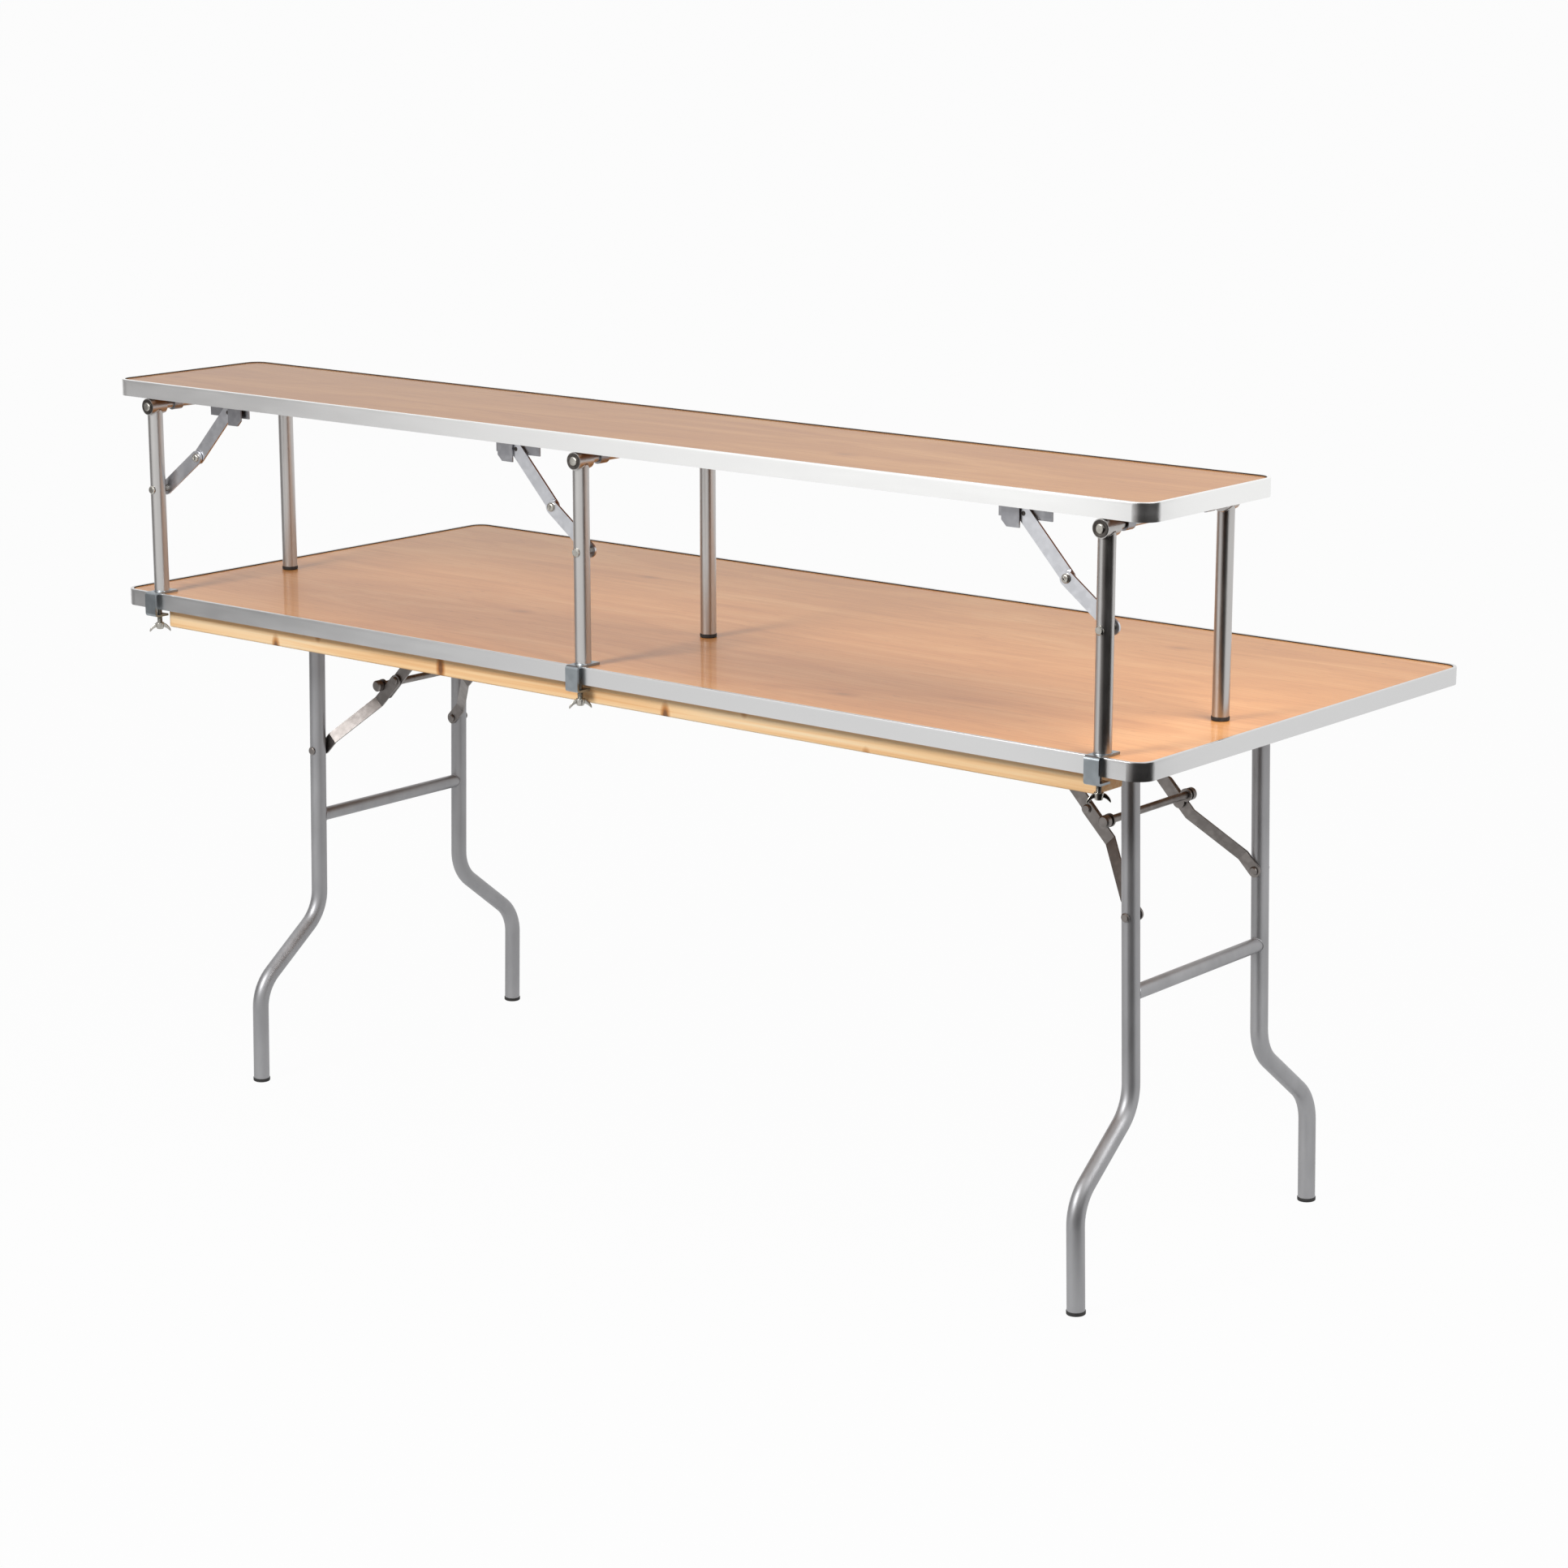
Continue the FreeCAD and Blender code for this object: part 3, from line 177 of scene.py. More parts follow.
def grey_powder_coat():
    """Metallic grey powder coat on steel tube: a soft broad highlight, a slight orange peel, drawn
    coarser than the real one so that it shows, and thin rubs where the tubes were handled."""
    material, tree, shader = finish("grey_powder_coat", Metallic=0.8)
    place = node(tree, "ShaderNodeTexCoord").outputs["Object"]
    peel = node(tree, "ShaderNodeMapping", {"Vector": place, "Scale": per_mm(1.8, 1.8, 1.8)})
    skin = node(tree, "ShaderNodeTexNoise", {"Vector": peel.outputs[0], "Scale": 1.0, "Detail": 2})
    bump = node(tree, "ShaderNodeBump", {"Height": skin.outputs["Fac"], "Strength": 0.02,
                                         "Distance": 0.15 * MM})
    tree.links.new(bump.outputs["Normal"], shader.inputs["Normal"])
    cloudy = node(tree, "ShaderNodeMapping", {"Vector": place, "Scale": per_mm(30, 30, 90)})
    rubs = node(tree, "ShaderNodeTexNoise", {"Vector": cloudy.outputs[0], "Scale": 1.0, "Detail": 4})
    base = node(tree, "ShaderNodeValToRGB", {"Fac": rubs.outputs["Fac"]},
                stops=((0.35, "#98989a"), (0.7, "#a5a5a7")))
    tree.links.new(base.outputs[0], shader.inputs["Base Color"])
    gloss = node(tree, "ShaderNodeMapRange", {"Value": rubs.outputs["Fac"],
                                              "From Min": 0.3, "From Max": 0.7,
                                              "To Min": 0.42, "To Max": 0.48})
    tree.links.new(gloss.outputs["Result"], shader.inputs["Roughness"])
    return material


def nickel_plated_tube():
    """Bright nickel plate on drawn tube: upright reflections with soft edges, faint drawing lines
    down the length, drawn wider than the real ones, and slightly duller patches."""
    material, tree, shader = finish("nickel_plated_tube", Metallic=1.0, Base_Color=colour("#bcbab8"))
    place = node(tree, "ShaderNodeTexCoord").outputs["Object"]
    drawn = node(tree, "ShaderNodeMapping", {"Vector": place, "Scale": per_mm(0.9, 0.9, 80)})
    lines = node(tree, "ShaderNodeTexNoise", {"Vector": drawn.outputs[0], "Scale": 1.0, "Detail": 2})
    bump = node(tree, "ShaderNodeBump", {"Height": lines.outputs["Fac"], "Strength": 0.015,
                                         "Distance": 0.1 * MM})
    tree.links.new(bump.outputs["Normal"], shader.inputs["Normal"])
    cloudy = node(tree, "ShaderNodeMapping", {"Vector": place, "Scale": per_mm(14, 14, 40)})
    patches = node(tree, "ShaderNodeTexNoise", {"Vector": cloudy.outputs[0], "Scale": 1.0, "Detail": 3})
    gloss = node(tree, "ShaderNodeMapRange", {"Value": patches.outputs["Fac"],
                                              "From Min": 0.3, "From Max": 0.7,
                                              "To Min": 0.3, "To Max": 0.36})
    tree.links.new(gloss.outputs["Result"], shader.inputs["Roughness"])
    return material


def zinc_plate(name, dark, light, spangle, smooth, rough):
    """Zinc plate on pressed steel: a faint spangle of flat facets, so many millimetres across,
    whose tone and gloss differ."""
    material, tree, shader = finish(name, Metallic=1.0)
    place = node(tree, "ShaderNodeTexCoord").outputs["Object"]
    facets = node(tree, "ShaderNodeMapping", {"Vector": place, "Scale": per_mm(spangle, spangle, spangle)})
    cells = node(tree, "ShaderNodeTexVoronoi", {"Vector": facets.outputs[0], "Scale": 1.0},
                 feature="SMOOTH_F1")
    base = node(tree, "ShaderNodeValToRGB", {"Fac": cells.outputs["Color"]},
                stops=((0.2, dark), (0.8, light)))
    tree.links.new(base.outputs[0], shader.inputs["Base Color"])
    gloss = node(tree, "ShaderNodeMapRange", {"Value": cells.outputs["Distance"],
                                              "To Min": smooth, "To Max": rough})
    tree.links.new(gloss.outputs["Result"], shader.inputs["Roughness"])
    return material


def black_rubber():
    """Moulded rubber: near black, dull, with a faint grain and dust on it."""
    material, tree, shader = finish("black_rubber", IOR=1.52)
    place = node(tree, "ShaderNodeTexCoord").outputs["Object"]
    grain = node(tree, "ShaderNodeMapping", {"Vector": place, "Scale": per_mm(6, 6, 6)})
    dust = node(tree, "ShaderNodeTexNoise", {"Vector": grain.outputs[0], "Scale": 1.0, "Detail": 5})
    base = node(tree, "ShaderNodeValToRGB", {"Fac": dust.outputs["Fac"]},
                stops=((0.4, "#1b1a1a"), (0.75, "#343230")))
    tree.links.new(base.outputs[0], shader.inputs["Base Color"])
    dull = node(tree, "ShaderNodeMapRange", {"Value": dust.outputs["Fac"], "To Min": 0.55, "To Max": 0.8})
    tree.links.new(dull.outputs["Result"], shader.inputs["Roughness"])
    return material


def painted_lip_shade():
    """Painted shade along the inner side of the edge lips, where they meet the panel: dark brown, dull and
    uneven.
    """
    material, tree, shader = finish("painted_lip_shade", Roughness=0.75, IOR=1.45)
    place = node(tree, "ShaderNodeTexCoord").outputs["Object"]
    uneven = node(tree, "ShaderNodeMapping", {"Vector": place, "Scale": per_mm(40, 40, 40)})
    shade_noise = node(tree, "ShaderNodeTexNoise", {"Vector": uneven.outputs[0], "Scale": 1.0, "Detail": 4})
    base = node(tree, "ShaderNodeValToRGB", {"Fac": shade_noise.outputs["Fac"]},
                stops=((0.35, "#2a211c"), (0.7, "#4a3c33")))
    tree.links.new(base.outputs[0], shader.inputs["Base Color"])
    return material


table_plywood = birch_plywood("birch_plywood_table", "#d39054", "#df9d5f", "#e9ad71")
# Painted shade: the shelf's birch is toned darker than the table's, for the lesser light on the shelf.
shaded_shelf_plywood = birch_plywood("birch_plywood_shelf_shaded", "#9c6633", "#a8733d", "#b4814b")
pine = planed_pine()
# Painted shade: the table's moulding is toned darker than the shelf's, though both are one extrusion, for
# the dimmer reflection on the table's edge.
shaded_table_aluminium = extruded_aluminium("extruded_aluminium_table_shaded", "#d3d3d3")
shelf_aluminium = extruded_aluminium("extruded_aluminium_shelf", "#f1f1f0")
powder_coat = grey_powder_coat()
plated_tube = nickel_plated_tube()
rubber = black_rubber()
lip_shade = painted_lip_shade()
# strip of the table braces, brownish grey and darker than the riser braces' zinc: painted shade for its
# place under the table top
shaded_strip = zinc_plate("shaded_zinc_strip", "#7c7774", "#8b8683", 7, 0.4, 0.46)
# strip of the riser braces
bright_strip = zinc_plate("bright_zinc_strip", "#c6c7cb", "#d4d5d9", 7, 0.28, 0.36)
# pressed brackets and saddles under the shelf, dull grey, toned darker than the bright zinc: painted shade
# for their place under the shelf
shaded_plate = zinc_plate("shaded_zinc_plate", "#96969a", "#a8a8ab", 7, 0.34, 0.46)
# clamp straps, bluish grey and toned darker than the brace zinc: painted shade on the clamp faces
shaded_blue_strip = zinc_plate("shaded_bluish_zinc", "#8c9296", "#9ba1a5", 9, 0.3, 0.4)
# screws and bolts, slightly yellow
bright_zinc = zinc_plate("zinc_fastener", "#a9a69f", "#bcb9b2", 3, 0.24, 0.36)
# pins and washers, blackened in the hole and by handling
dark_steel = zinc_plate("blackened_steel", "#4a4643", "#5c5855", 3, 0.34, 0.48)

# How a node's name starts and ends, and its finish. The first row that fits holds.
FINISHES = (
    ("table_top", ("_panel",), table_plywood),
    ("riser", ("_panel",), shaded_shelf_plywood),
    ("", ("_runner",), pine),
    ("table", ("_edge_trim",), shaded_table_aluminium),
    ("riser", ("_edge_trim",), shelf_aluminium),
    ("", ("_glides", "_rear_tip"), rubber),
    ("", ("_screws", "_wing_screw"), bright_zinc),
    ("riser", ("_rivets",), bright_zinc),
    ("", ("_pins",), dark_steel),
    ("riser", ("_link",), bright_strip),
    ("riser", ("_brackets", "_saddles"), shaded_plate),
    ("", ("_clamp",), shaded_blue_strip),
    ("", ("_links", "_lock_bar", "_anchors", "_rivets"), shaded_strip),
    ("riser", ("",), plated_tube),
    ("", ("",), powder_coat),
)

for name, part in nodes.items():
    fitting = [chosen for begins, ends, chosen in FINISHES
               if name.startswith(begins) and name.endswith(ends)]
    part.data.materials.clear()
    part.data.materials.append(fitting[0])


# A face looks a given way when that share of its unit normal points there.
FACING_SHARE = 0.5
# Edges sharper than this stay sharp when a piece is shaded.
SHARP_ANGLE = math.radians(40)


def begin(kind, **settings):
    """A new primitive, alone selected and open in edit mode."""
    bpy.ops.object.select_all(action="DESELECT")
    getattr(bpy.ops.mesh, "primitive_%s_add" % kind)(**settings)
    bpy.ops.object.mode_set(mode="EDIT")
    return bpy.context.object


def pick(kind, test):
    """Selects only the vertices, edges or faces of the open piece that pass the test."""
    bpy.ops.mesh.select_mode(type=kind)
    bpy.ops.mesh.select_all(action="DESELECT")
    shape = bmesh.from_edit_mesh(bpy.context.object.data)
    for part in {"VERT": shape.verts, "EDGE": shape.edges, "FACE": shape.faces}[kind]:
        part.select_set(test(part))
    shape.select_flush_mode()
    bmesh.update_edit_mesh(bpy.context.object.data)


def close():
    """Leaves edit mode and puts the open piece's place into its mesh."""
    bpy.ops.object.mode_set(mode="OBJECT")
    bpy.ops.object.transform_apply(location=True, rotation=True, scale=True)
    bpy.ops.object.shade_smooth_by_angle(angle=SHARP_ANGLE)


def again(piece, move):
    """Another piece like this one, with its own mesh, moved by a matrix."""
    twin = piece.copy()
    twin.data = piece.data.copy()
    twin.data.transform(move)
    scene.collection.objects.link(twin)
    return twin


def joined(pieces):
    """The pieces as one, in the object of the first."""
    bpy.ops.object.select_all(action="DESELECT")
    for piece in pieces:
        piece.select_set(True)
    bpy.context.view_layer.objects.active = pieces[0]
    bpy.ops.object.join()
    return pieces[0]


def fitted(piece, name, body, material):
    """Names a piece, gives it its finish and sets it on the body that carries it."""
    piece.name = name
    piece.data.materials.clear()
    piece.data.materials.append(material)
    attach(piece, body)
    return piece


# Lips of the edge mouldings: a low rounded rim all round, with painted shade along its inner side.
LIP_WIDTH, LIP_RISE, LIP_SUNK = 5 * MM, 1.8 * MM, 1.6 * MM
LIP_ROUND, LIP_SEGMENTS = 0.9 * MM, 4
# The lips stand this much wider than the mouldings, so their sides don't lie in one plane.
LIP_PROUD = 0.1 * MM
EDGE_CORNER, CORNER_SEGMENTS = 25 * MM, 10
# Inner faces that look up or down by more than this share get no painted shade.
UNSHADED_SHARE = 0.7

for label, body, finished in (("table", "table", shaded_table_aluminium),
                              ("riser", "riser_shelf", shelf_aluminium)):
    low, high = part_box(label + "_edge_trim")
    middle = (low + high) / 2
    middle.z = high.z + (LIP_RISE - LIP_SUNK) / 2
    lip = begin("cube", size=1, location=middle)
    bpy.ops.transform.resize(value=(high.x - low.x + LIP_PROUD, high.y - low.y + LIP_PROUD,
                                    LIP_RISE + LIP_SUNK))
    pick("EDGE", lambda edge: edge.verts[0].co.z * edge.verts[1].co.z < 0)
    bpy.ops.mesh.bevel(offset=EDGE_CORNER, segments=CORNER_SEGMENTS)
    pick("FACE", lambda face: abs(face.normal.z) > FACING_SHARE)
    bpy.ops.mesh.inset(thickness=LIP_WIDTH)
    bpy.ops.mesh.bridge_edge_loops()
    bpy.ops.mesh.select_all(action="SELECT")
    bpy.ops.mesh.normals_make_consistent(inside=False)
    pick("EDGE", lambda edge: all(point.co.z > 0 for point in edge.verts) and any(
        abs(face.normal.z) < FACING_SHARE for face in edge.link_faces))
    bpy.ops.mesh.bevel(offset=LIP_ROUND, segments=LIP_SEGMENTS)
    close()
    fitted(lip, label + "_edge_lip", body, finished)
    # Painted shade: the lip's inner side faces, where it meets the panel, take the dark second material.
    lip.data.materials.append(lip_shade)
    for face in lip.data.polygons:
        inward = face.normal.dot(face.center - middle) < 0
        face.material_index = int(inward and abs(face.normal.z) < UNSHADED_SHARE)


RISERS = ("left", "middle", "right")
riser_x = {name: sum(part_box("riser_%s_pivot_rod" % name), Vector()).x / 2 for name in RISERS}


# Wing screws under the clamps: rolled thread, tapered hub and two swept wings.
SHANK_RADIUS, SHANK_LENGTH, SHANK_SIDES = 4 * MM, 21 * MM, 24
THREAD_TURNS, THREAD_ROOT_SHARE, THREAD_TIP_SHARE = 16, 0.84, 0.8
HUB_RADIUS, HUB_HEIGHT, HUB_SIDES = 6.5 * MM, 10 * MM, 32
HUB_TAPER_SHARE = 0.78
HUB_ROUND, HUB_SEGMENTS = 1.4 * MM, 4
# A wing starts as a block in the hub and grows outward and down in steps, each with its move
# and the share of the end's length, width and height that is left.
WING_REACH, WING_DROP = 5.2 * MM, 4.4 * MM
WING_BLOCK_MM = (5, 2.6, 7)
WING_STEPS_MM = (((4.6, 0, -4.2), (1, 0.95, 0.95)),
                 ((3.6, 0, -4.6), (1, 0.8, 0.8)))
WING_SMOOTHING = 2
WING_TURN = math.radians(50)

low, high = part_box("riser_left_wing_screw")
stem = Vector(((low.x + high.x) / 2, (low.y + high.y) / 2, high.z))

shank = begin("cylinder", vertices=SHANK_SIDES, radius=SHANK_RADIUS, depth=SHANK_LENGTH,
              location=stem - Vector((0, 0, SHANK_LENGTH / 2)))
pick("EDGE", lambda edge: abs(edge.verts[0].co.z - edge.verts[1].co.z) > SHANK_LENGTH / 2)
bpy.ops.mesh.subdivide(number_cuts=2 * THREAD_TURNS - 1)
ring_gap = SHANK_LENGTH / (2 * THREAD_TURNS)
pick("VERT", lambda point: round((point.co.z + SHANK_LENGTH / 2) / ring_gap) % 2 == 1)
bpy.ops.transform.resize(value=(THREAD_ROOT_SHARE, THREAD_ROOT_SHARE, 1))
pick("VERT", lambda point: point.co.z > SHANK_LENGTH / 2 - ring_gap / 2)
bpy.ops.transform.resize(value=(THREAD_TIP_SHARE, THREAD_TIP_SHARE, 1))
close()

hub = begin("cylinder", vertices=HUB_SIDES, radius=HUB_RADIUS, depth=HUB_HEIGHT,
            location=stem - Vector((0, 0, SHANK_LENGTH + HUB_HEIGHT / 2)))
pick("VERT", lambda point: point.co.z < 0)
bpy.ops.transform.resize(value=(HUB_TAPER_SHARE, HUB_TAPER_SHARE, 1))
pick("EDGE", lambda edge: edge.verts[0].co.z * edge.verts[1].co.z > 0)
bpy.ops.mesh.bevel(offset=HUB_ROUND, segments=HUB_SEGMENTS)
close()

wing = begin("cube", size=MM, location=stem + Vector((WING_REACH, 0, -SHANK_LENGTH - WING_DROP)))
bpy.ops.transform.resize(value=WING_BLOCK_MM)
for step, left_over in WING_STEPS_MM:
    faces = bmesh.from_edit_mesh(wing.data).faces
    furthest = max(face.calc_center_median().x for face in faces)
    pick("FACE", lambda face: face.normal.x > FACING_SHARE and face.calc_center_median().x == furthest)
    bpy.ops.mesh.extrude_region_move(TRANSFORM_OT_translate={"value": Vector(step) * MM})
    bpy.ops.transform.resize(value=left_over)
bpy.ops.object.mode_set(mode="OBJECT")
wing.modifiers.new("rounded", "SUBSURF").levels = WING_SMOOTHING
bpy.ops.object.modifier_apply(modifier="rounded")
close()
to_stem, from_stem = Matrix.Translation(stem), Matrix.Translation(-stem)
twin = again(wing, to_stem @ Matrix.Rotation(math.pi + WING_TURN, 4, "Z") @ from_stem)
wing.data.transform(to_stem @ Matrix.Rotation(WING_TURN, 4, "Z") @ from_stem)
wing_screw = joined([hub, shank, wing, twin])
for name in RISERS:
    shift = Matrix.Translation((riser_x[name] - riser_x["left"], 0, 0))
    piece = fitted(again(wing_screw, shift), "riser_%s_wing_bolt" % name, "riser_%s_wing" % name,
                   bright_zinc)
    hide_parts("riser_%s_wing_screw" % name)
bpy.data.objects.remove(wing_screw)


# Round screw heads with a cross recess, modelled once at the origin with the head downwards.
HEAD_RADIUS, HEAD_HEIGHT, HEAD_SIDES = 4.5 * MM, 2.6 * MM, 32
HEAD_ROUND, HEAD_SEGMENTS = 2 * MM, 5
SLOT_LENGTH, SLOT_WIDTH, SLOT_DEPTH = 5.2 * MM, 1.1 * MM, 1.5 * MM
SLOT_TAPER_SHARE = 0.7
# Points this near the lowest one belong to the end of a screw head.
HEAD_LEVEL = 0.05 * MM
# Each head is turned this much further than the one before, in radians.
HEAD_TURN = 0.7

screw_head = begin("cylinder", vertices=HEAD_SIDES, radius=HEAD_RADIUS, depth=HEAD_HEIGHT,
                   location=(0, 0, -HEAD_HEIGHT / 2))
pick("EDGE", lambda edge: edge.verts[0].co.z < 0 and edge.verts[1].co.z < 0)
bpy.ops.mesh.bevel(offset=HEAD_ROUND, segments=HEAD_SEGMENTS)
close()
cutters = []
for length, width in ((SLOT_LENGTH, SLOT_WIDTH), (SLOT_WIDTH, SLOT_LENGTH)):
    cutter = begin("cube", size=1, location=(0, 0, -HEAD_HEIGHT))
    bpy.ops.transform.resize(value=(length, width, 2 * SLOT_DEPTH))
    pick("FACE", lambda face: face.normal.z > FACING_SHARE)
    bpy.ops.transform.resize(value=(SLOT_TAPER_SHARE, SLOT_TAPER_SHARE, 1))
    close()
    cutters.append(cutter)
for cutter in cutters:
    recess = screw_head.modifiers.new("recess", "BOOLEAN")
    recess.operation = "DIFFERENCE"
    recess.object = cutter
    bpy.ops.object.select_all(action="DESELECT")
    bpy.context.view_layer.objects.active = screw_head
    bpy.ops.object.modifier_apply(modifier="recess")
    bpy.data.objects.remove(cutter)


def head_spots(node_name):
    """The middles of a node's screw heads, read from the lowest points of its solids."""
    points = [point.co for point in nodes[node_name].data.vertices]
    lowest = min(point.z for point in points)
    spots = []
    for point in points:
        if point.z > lowest + HEAD_LEVEL:
            continue
        near = [spot for spot in spots if (spot[0] - point).length < 2 * HEAD_RADIUS]
        if near:
            near[0].append(point)
        else:
            spots.append([point])
    for spot in spots:
        xs, ys = [point.x for point in spot], [point.y for point in spot]
        yield Vector(((min(xs) + max(xs)) / 2, (min(ys) + max(ys)) / 2, lowest + HEAD_HEIGHT))


for label, body in (("table", "table"), ("riser", "riser_shelf")):
    heads = []
    for number, spot in enumerate(head_spots(label + "_screws")):
        turned = Matrix.Rotation(HEAD_TURN * number, 4, "Z")
        heads.append(again(screw_head, Matrix.Translation(spot) @ turned))
    piece = fitted(joined(heads), label + "_screw_heads", body, bright_zinc)
    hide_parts(label + "_screws")


# Bolt at each riser knee: a wider and higher head of the same kind, over the end of the knee
# pin and low enough to pass behind the folded leg.
KNEE_SPREAD_SHARE, KNEE_RISE_SHARE = 1.367, 1.385
# The pin of a knee lies this far inside the box of its brace's rivets.
KNEE_INSET = 6 * MM
KNEE_TURN = 0.4

for name in RISERS:
    low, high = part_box("riser_%s_brace_rivets" % name)
    knee_x = high.x - KNEE_INSET if name == "left" else low.x + KNEE_INSET
    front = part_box("riser_%s_lower_link" % name)[0].y
    seat = Vector((knee_x, front, high.z - KNEE_INSET))
    lie = Matrix.Rotation(math.radians(-90), 4, "X") @ Matrix.Rotation(KNEE_TURN, 4, "Z")
    wider = Matrix.Diagonal((KNEE_SPREAD_SHARE, KNEE_SPREAD_SHARE, KNEE_RISE_SHARE, 1))
    bolt = again(screw_head, Matrix.Translation(seat) @ lie @ wider)
    fitted(bolt, "riser_%s_knee_bolt" % name, "riser_%s_lower_brace" % name, bright_zinc)
bpy.data.objects.remove(screw_head)


# Ends of the riser pivot rods: a dished dark washer over the sleeve and a peened bright end.
WASHER_RADIUS, WASHER_THICK = 10.8 * MM, 1 * MM
WASHER_RIM, DISH_SLOPE, DISH_DEPTH = 1.2 * MM, 1.4 * MM, 0.4 * MM
ROD_RADIUS, PEEN_HEIGHT = 6.3 * MM, 2.4 * MM
PEEN_ROUND, PEEN_SEGMENTS = 1.8 * MM, 4
ROD_SIDES = 40
ROD_LIE = (math.radians(90), 0, 0)

for name in RISERS:
    low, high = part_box("riser_%s_pivot_rod" % name)
    centre = (low + high) / 2
    for end, hand, face in (("front", -1, low.y), ("rear", 1, high.y)):
        washer = begin("cylinder", vertices=ROD_SIDES, radius=WASHER_RADIUS, depth=WASHER_THICK,
                       location=(centre.x, face + hand * WASHER_THICK / 2, centre.z), rotation=ROD_LIE)
        pick("FACE", lambda one: -one.normal.z * hand > FACING_SHARE)
        bpy.ops.mesh.inset(thickness=WASHER_RIM)
        bpy.ops.mesh.inset(thickness=DISH_SLOPE, depth=-DISH_DEPTH)
        close()
        fitted(washer, "riser_%s_%s_washer" % (name, end), "riser_%s_legs" % name,
               dark_steel)
        peen = begin("cylinder", vertices=ROD_SIDES, radius=ROD_RADIUS, depth=PEEN_HEIGHT,
                     location=(centre.x, face + hand * PEEN_HEIGHT / 2, centre.z), rotation=ROD_LIE)
        pick("EDGE", lambda edge: all(-point.co.z * hand > 0 for point in edge.verts))
        bpy.ops.mesh.bevel(offset=PEEN_ROUND, segments=PEEN_SEGMENTS)
        close()
        fitted(peen, "riser_%s_%s_rod_end" % (name, end), "riser_%s_legs" % name,
               bright_zinc)


# Weld beads where a tube end meets another tube or a plate.
BEAD_RADIUS, BEAD_RIPPLE, BEAD_WAVES = 1.1 * MM, 0.18 * MM, 22
BEAD_STEPS, BEAD_SIDES = 66, 8


def weld_bead(name, body, material, tube_radius, cross_radius, centre, outward):
    """A bead round a tube that leaves a cross tube, or a flat plate, in the outward direction."""
    bead = begin("torus", major_radius=tube_radius, minor_radius=BEAD_RADIUS,
                 major_segments=BEAD_STEPS, minor_segments=BEAD_SIDES)
    bpy.ops.object.mode_set(mode="OBJECT")
    for point in bead.data.vertices:
        around = math.atan2(point.co.y, point.co.x)
        side = min(tube_radius, cross_radius) * math.cos(around)
        point.co.z += math.sqrt(max(cross_radius ** 2 - side ** 2, 0)) if cross_radius else 0
        point.co.z += BEAD_RIPPLE * math.sin(BEAD_WAVES * around)
    up = Vector(outward)
    across = up.cross(Vector((1, 0, 0))).normalized()
    turn = Matrix((across.cross(up), across, up)).transposed().to_4x4()
    bead.data.transform(Matrix.Translation(centre) @ turn)
    close()
    fitted(bead, name, body, material)


LEG_RADIUS, LEG_APART = 12 * MM, 306 * MM
LEG_LEAN = math.radians(1.55)
# The bead at a pivot is a little narrower than the leg, which is as wide as the pivot tube.
PIVOT_BEAD_SHARE = 0.99
CROSSBAR_RADIUS = 10 * MM
SLEEVE_RADIUS, RISER_RADIUS = 12 * MM, 11.1 * MM

for side, out in (("left", -1), ("right", 1)):
    body = side + "_leg_set"
    down = (out * math.sin(LEG_LEAN), 0, -math.cos(LEG_LEAN))
    pivot = sum(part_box(side + "_leg_pivot_tube"), Vector()) / 2
    crossbar = sum(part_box(side + "_leg_crossbar"), Vector()) / 2
    for end, hand in (("front", -1), ("rear", 1)):
        leg = Vector((0, hand * LEG_APART / 2, 0))
        weld_bead("%s_%s_pivot_weld" % (side, end), body, powder_coat,
                  PIVOT_BEAD_SHARE * LEG_RADIUS, LEG_RADIUS, pivot + leg, down)
        weld_bead("%s_%s_crossbar_weld" % (side, end), body, powder_coat,
                  CROSSBAR_RADIUS, LEG_RADIUS, crossbar + leg, (0, -hand, 0))

for name in RISERS:
    body = "riser_%s_legs" % name
    rod = sum(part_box("riser_%s_pivot_rod" % name), Vector()) / 2
    for end in ("front", "rear"):
        low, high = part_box("riser_%s_%s_leg" % (name, end))
        weld_bead("riser_%s_%s_sleeve_weld" % (name, end), body, plated_tube,
                  RISER_RADIUS, SLEEVE_RADIUS, Vector((rod.x, (low.y + high.y) / 2, rod.z)), (0, 0, -1))
        if end == "front":
            foot = Vector((rod.x, (low.y + high.y) / 2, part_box("riser_%s_clamp" % name)[1].z))
            weld_bead("riser_%s_clamp_weld" % name, body, shaded_blue_strip,
                      RISER_RADIUS, 0, foot, (0, 0, 1))


# Studio: white paper all round, two soft lamps, and dark and grey cards that only reflections
# show. Paper and sky look white, but light the bar less than they look.
SKY_LIGHT, SKY_LOOK = 0.24, 1.0
PAPER_LOOK_SHARE = 0.97
FLOOR_SIZE = 400

scene.view_settings.view_transform = "Standard"


def looked_at(tree):
    """1 on rays that come from the camera, off gloss or through glass, and 0 on the rest."""
    path = node(tree, "ShaderNodeLightPath")
    seen = node(tree, "ShaderNodeMath", {0: path.outputs["Is Camera Ray"], 1: path.outputs["Is Glossy Ray"]},
                operation="MAXIMUM")
    seen = node(tree, "ShaderNodeMath", {0: seen.outputs[0], 1: path.outputs["Is Transmission Ray"]},
                operation="MAXIMUM")
    return seen.outputs[0]


world = bpy.data.worlds.new("studio")
scene.world = world
world.use_nodes = True
sky = world.node_tree
sky.nodes.clear()
level = node(sky, "ShaderNodeMapRange", {"Value": looked_at(sky), "To Min": SKY_LIGHT, "To Max": SKY_LOOK})
glow = node(sky, "ShaderNodeBackground", {"Color": colour("#ffffff"), "Strength": level.outputs["Result"]})
node(sky, "ShaderNodeOutputWorld", {"Surface": glow.outputs["Background"]})

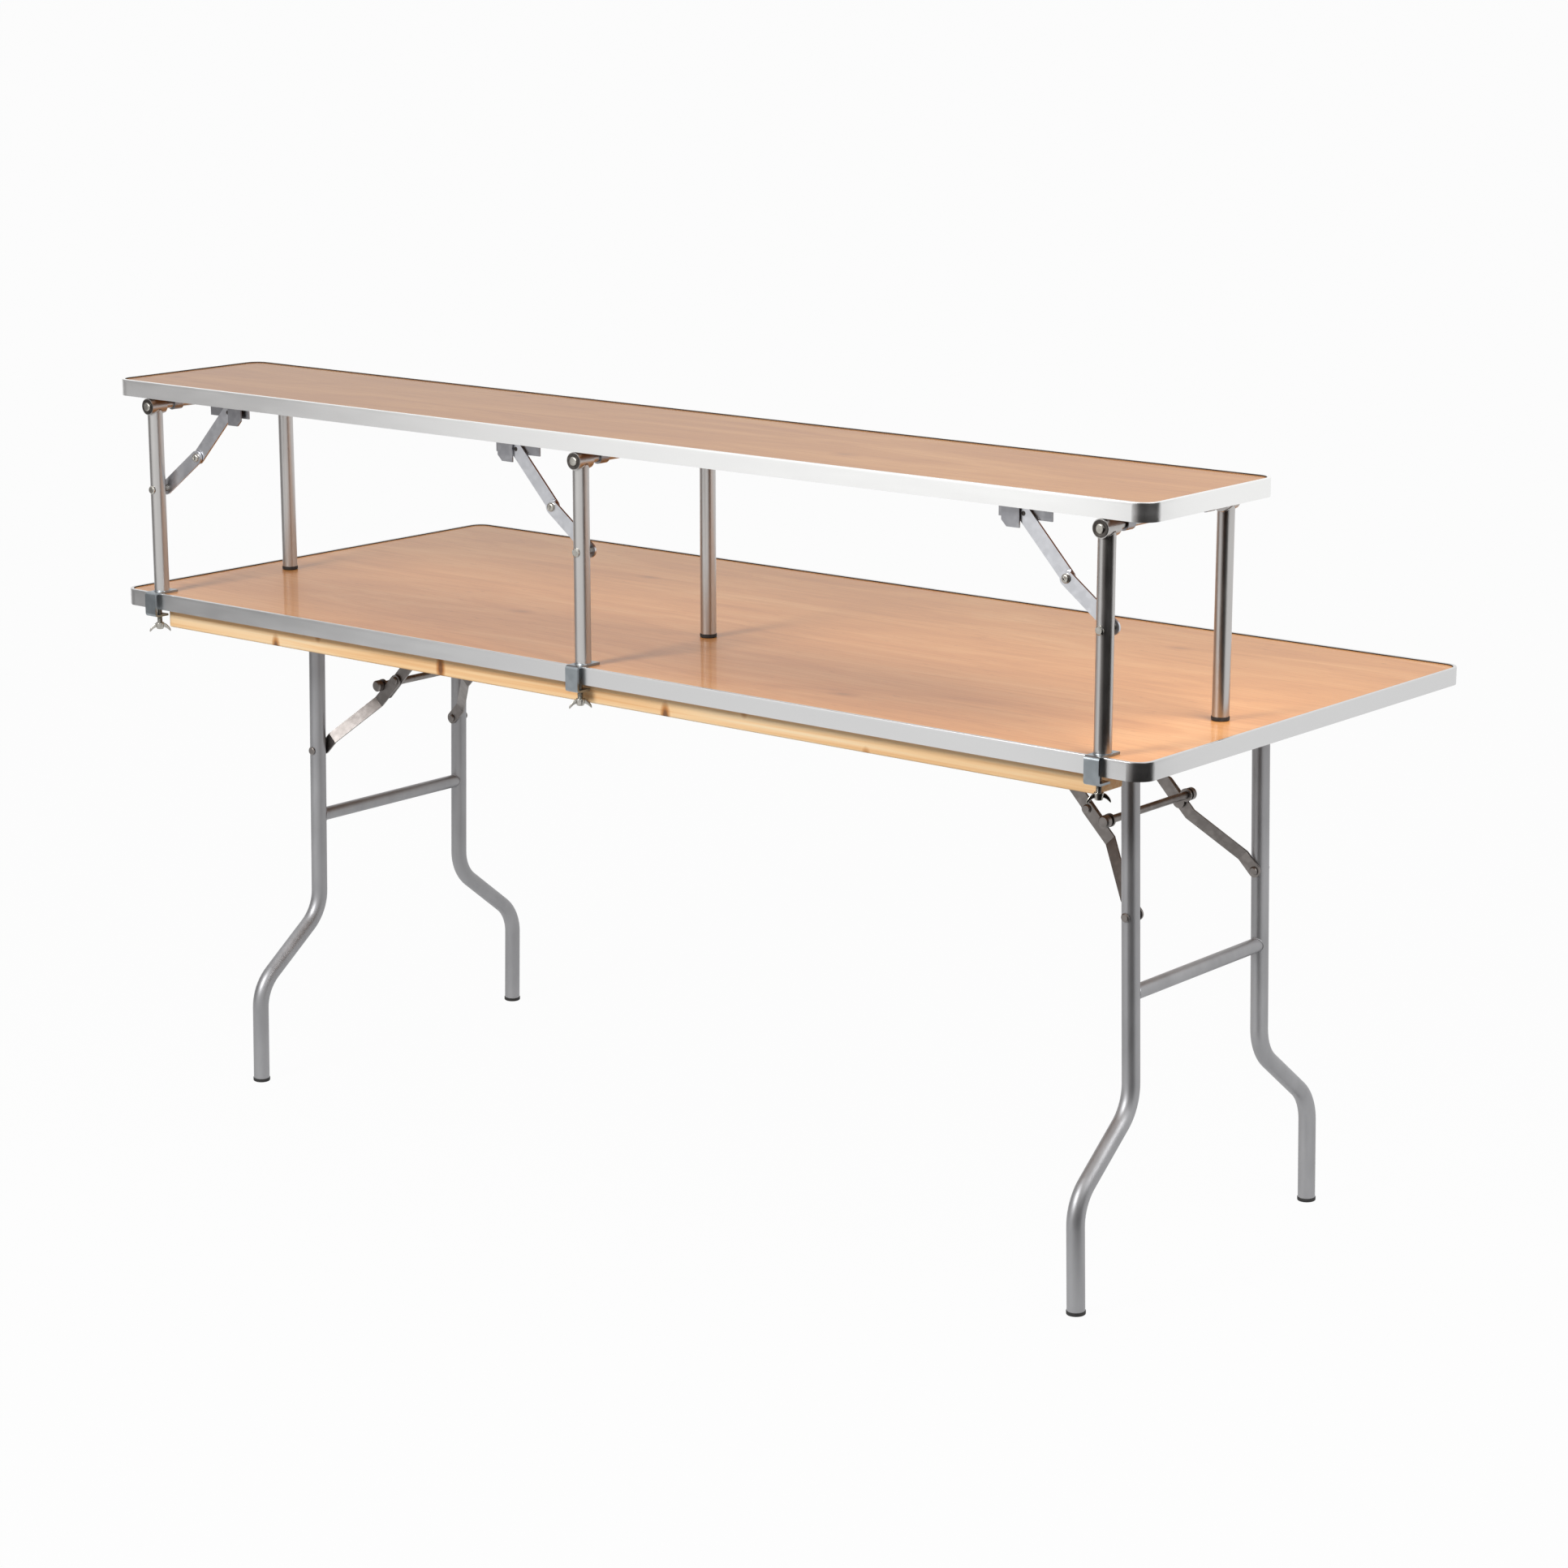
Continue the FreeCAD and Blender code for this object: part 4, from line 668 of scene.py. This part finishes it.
bpy.ops.object.select_all(action="DESELECT")
bpy.ops.mesh.primitive_plane_add(size=FLOOR_SIZE)
floor = bpy.context.object
floor.name = "floor"
paper = bpy.data.materials.new("white_paper")
paper.use_nodes = True
tree = paper.node_tree
tree.nodes.clear()
matt = node(tree, "ShaderNodeBsdfDiffuse", {"Color": colour("#a8a8a8")})
lit = node(tree, "ShaderNodeEmission", {"Color": colour("#ffffff"), "Strength": 1.0})
share = node(tree, "ShaderNodeMath", {0: looked_at(tree), 1: PAPER_LOOK_SHARE}, operation="MULTIPLY")
mixed = node(tree, "ShaderNodeMixShader", {0: share.outputs[0], 1: matt.outputs[0], 2: lit.outputs[0]})
node(tree, "ShaderNodeOutputMaterial", {"Surface": mixed.outputs[0]})
floor.data.materials.append(paper)

# Both lamps look at this point, in the middle of the bar.
LAMP_TARGET = Vector((0, 0, 0.8))


def softbox(name, power, size, place):
    """A square area lamp that looks at the bar."""
    lamp = bpy.data.lights.new(name, "AREA")
    lamp.energy = power
    lamp.shape = "SQUARE"
    lamp.size = size
    holder = bpy.data.objects.new(name, lamp)
    scene.collection.objects.link(holder)
    holder.location = place
    holder.rotation_euler = (LAMP_TARGET - Vector(place)).to_track_quat("-Z", "Y").to_euler()


softbox("front_softbox", power=145, size=1.2, place=(-0.6, -4.0, 3.1))
softbox("right_softbox", power=60, size=1.6, place=(2.2, -0.4, 2.6))


def studio_card(name, tone, start, end, bottom, top):
    """An upright card of an even tone over the line between two floor points. Only glossy rays
    meet it, so it shows in the metal and changes no light."""
    start, end = Vector(start), Vector(end)
    bpy.ops.object.select_all(action="DESELECT")
    bpy.ops.mesh.primitive_plane_add(size=1)
    card = bpy.context.object
    card.name = name
    card.scale = ((end - start).length, top - bottom, 1)
    card.location = ((start.x + end.x) / 2, (start.y + end.y) / 2, (bottom + top) / 2)
    card.rotation_euler = (math.radians(90), 0, math.atan2(end.y - start.y, end.x - start.x))
    velvet = finish(name + "_velvet", Roughness=1.0, Specular_IOR_Level=0.0, Base_Color=colour("#000000"),
                    Emission_Color=colour(tone), Emission_Strength=1.0)[0]
    card.data.materials.append(velvet)
    card.visible_camera = False
    card.visible_diffuse = False
    card.visible_shadow = False


# Two cards stand close to the bar's right end, and meet at its corner. Two stand one over the
# other, far out on the left.
RIGHT_CORNER, RIGHT_FOOT, RIGHT_TOP = (0.90, -0.55), 0.02, 1.3
LEFT_BACK, LEFT_SEAM, LEFT_TOP = (-4.2, -0.3), 0.27, 2.4

studio_card("right_card", "#120e0c", RIGHT_CORNER, (1.09, -0.2), RIGHT_FOOT, RIGHT_TOP)
studio_card("front_card", "#6e6a68", (0.72, -0.72), RIGHT_CORNER, RIGHT_FOOT, RIGHT_TOP)
studio_card("left_card", "#2a2828", (-2.4, -2.58), LEFT_BACK, 0, LEFT_SEAM)
studio_card("left_upper_card", "#9c9a9a", (-2.52, -2.5), LEFT_BACK, LEFT_SEAM, LEFT_TOP)

# The camera looks down by the first angle, and is turned to the left by the second.
CAMERA_DOWN, CAMERA_TURN = 13.433, 39.494

view = bpy.data.cameras.new("camera")
view.sensor_width = 36
view.lens = 85.526
view.clip_end = 600
camera = bpy.data.objects.new("camera", view)
scene.collection.objects.link(camera)
camera.location = (3.3240, -3.9756, 1.7690)
camera.rotation_euler = (math.radians(90 - CAMERA_DOWN), 0, math.radians(CAMERA_TURN))
scene.camera = camera
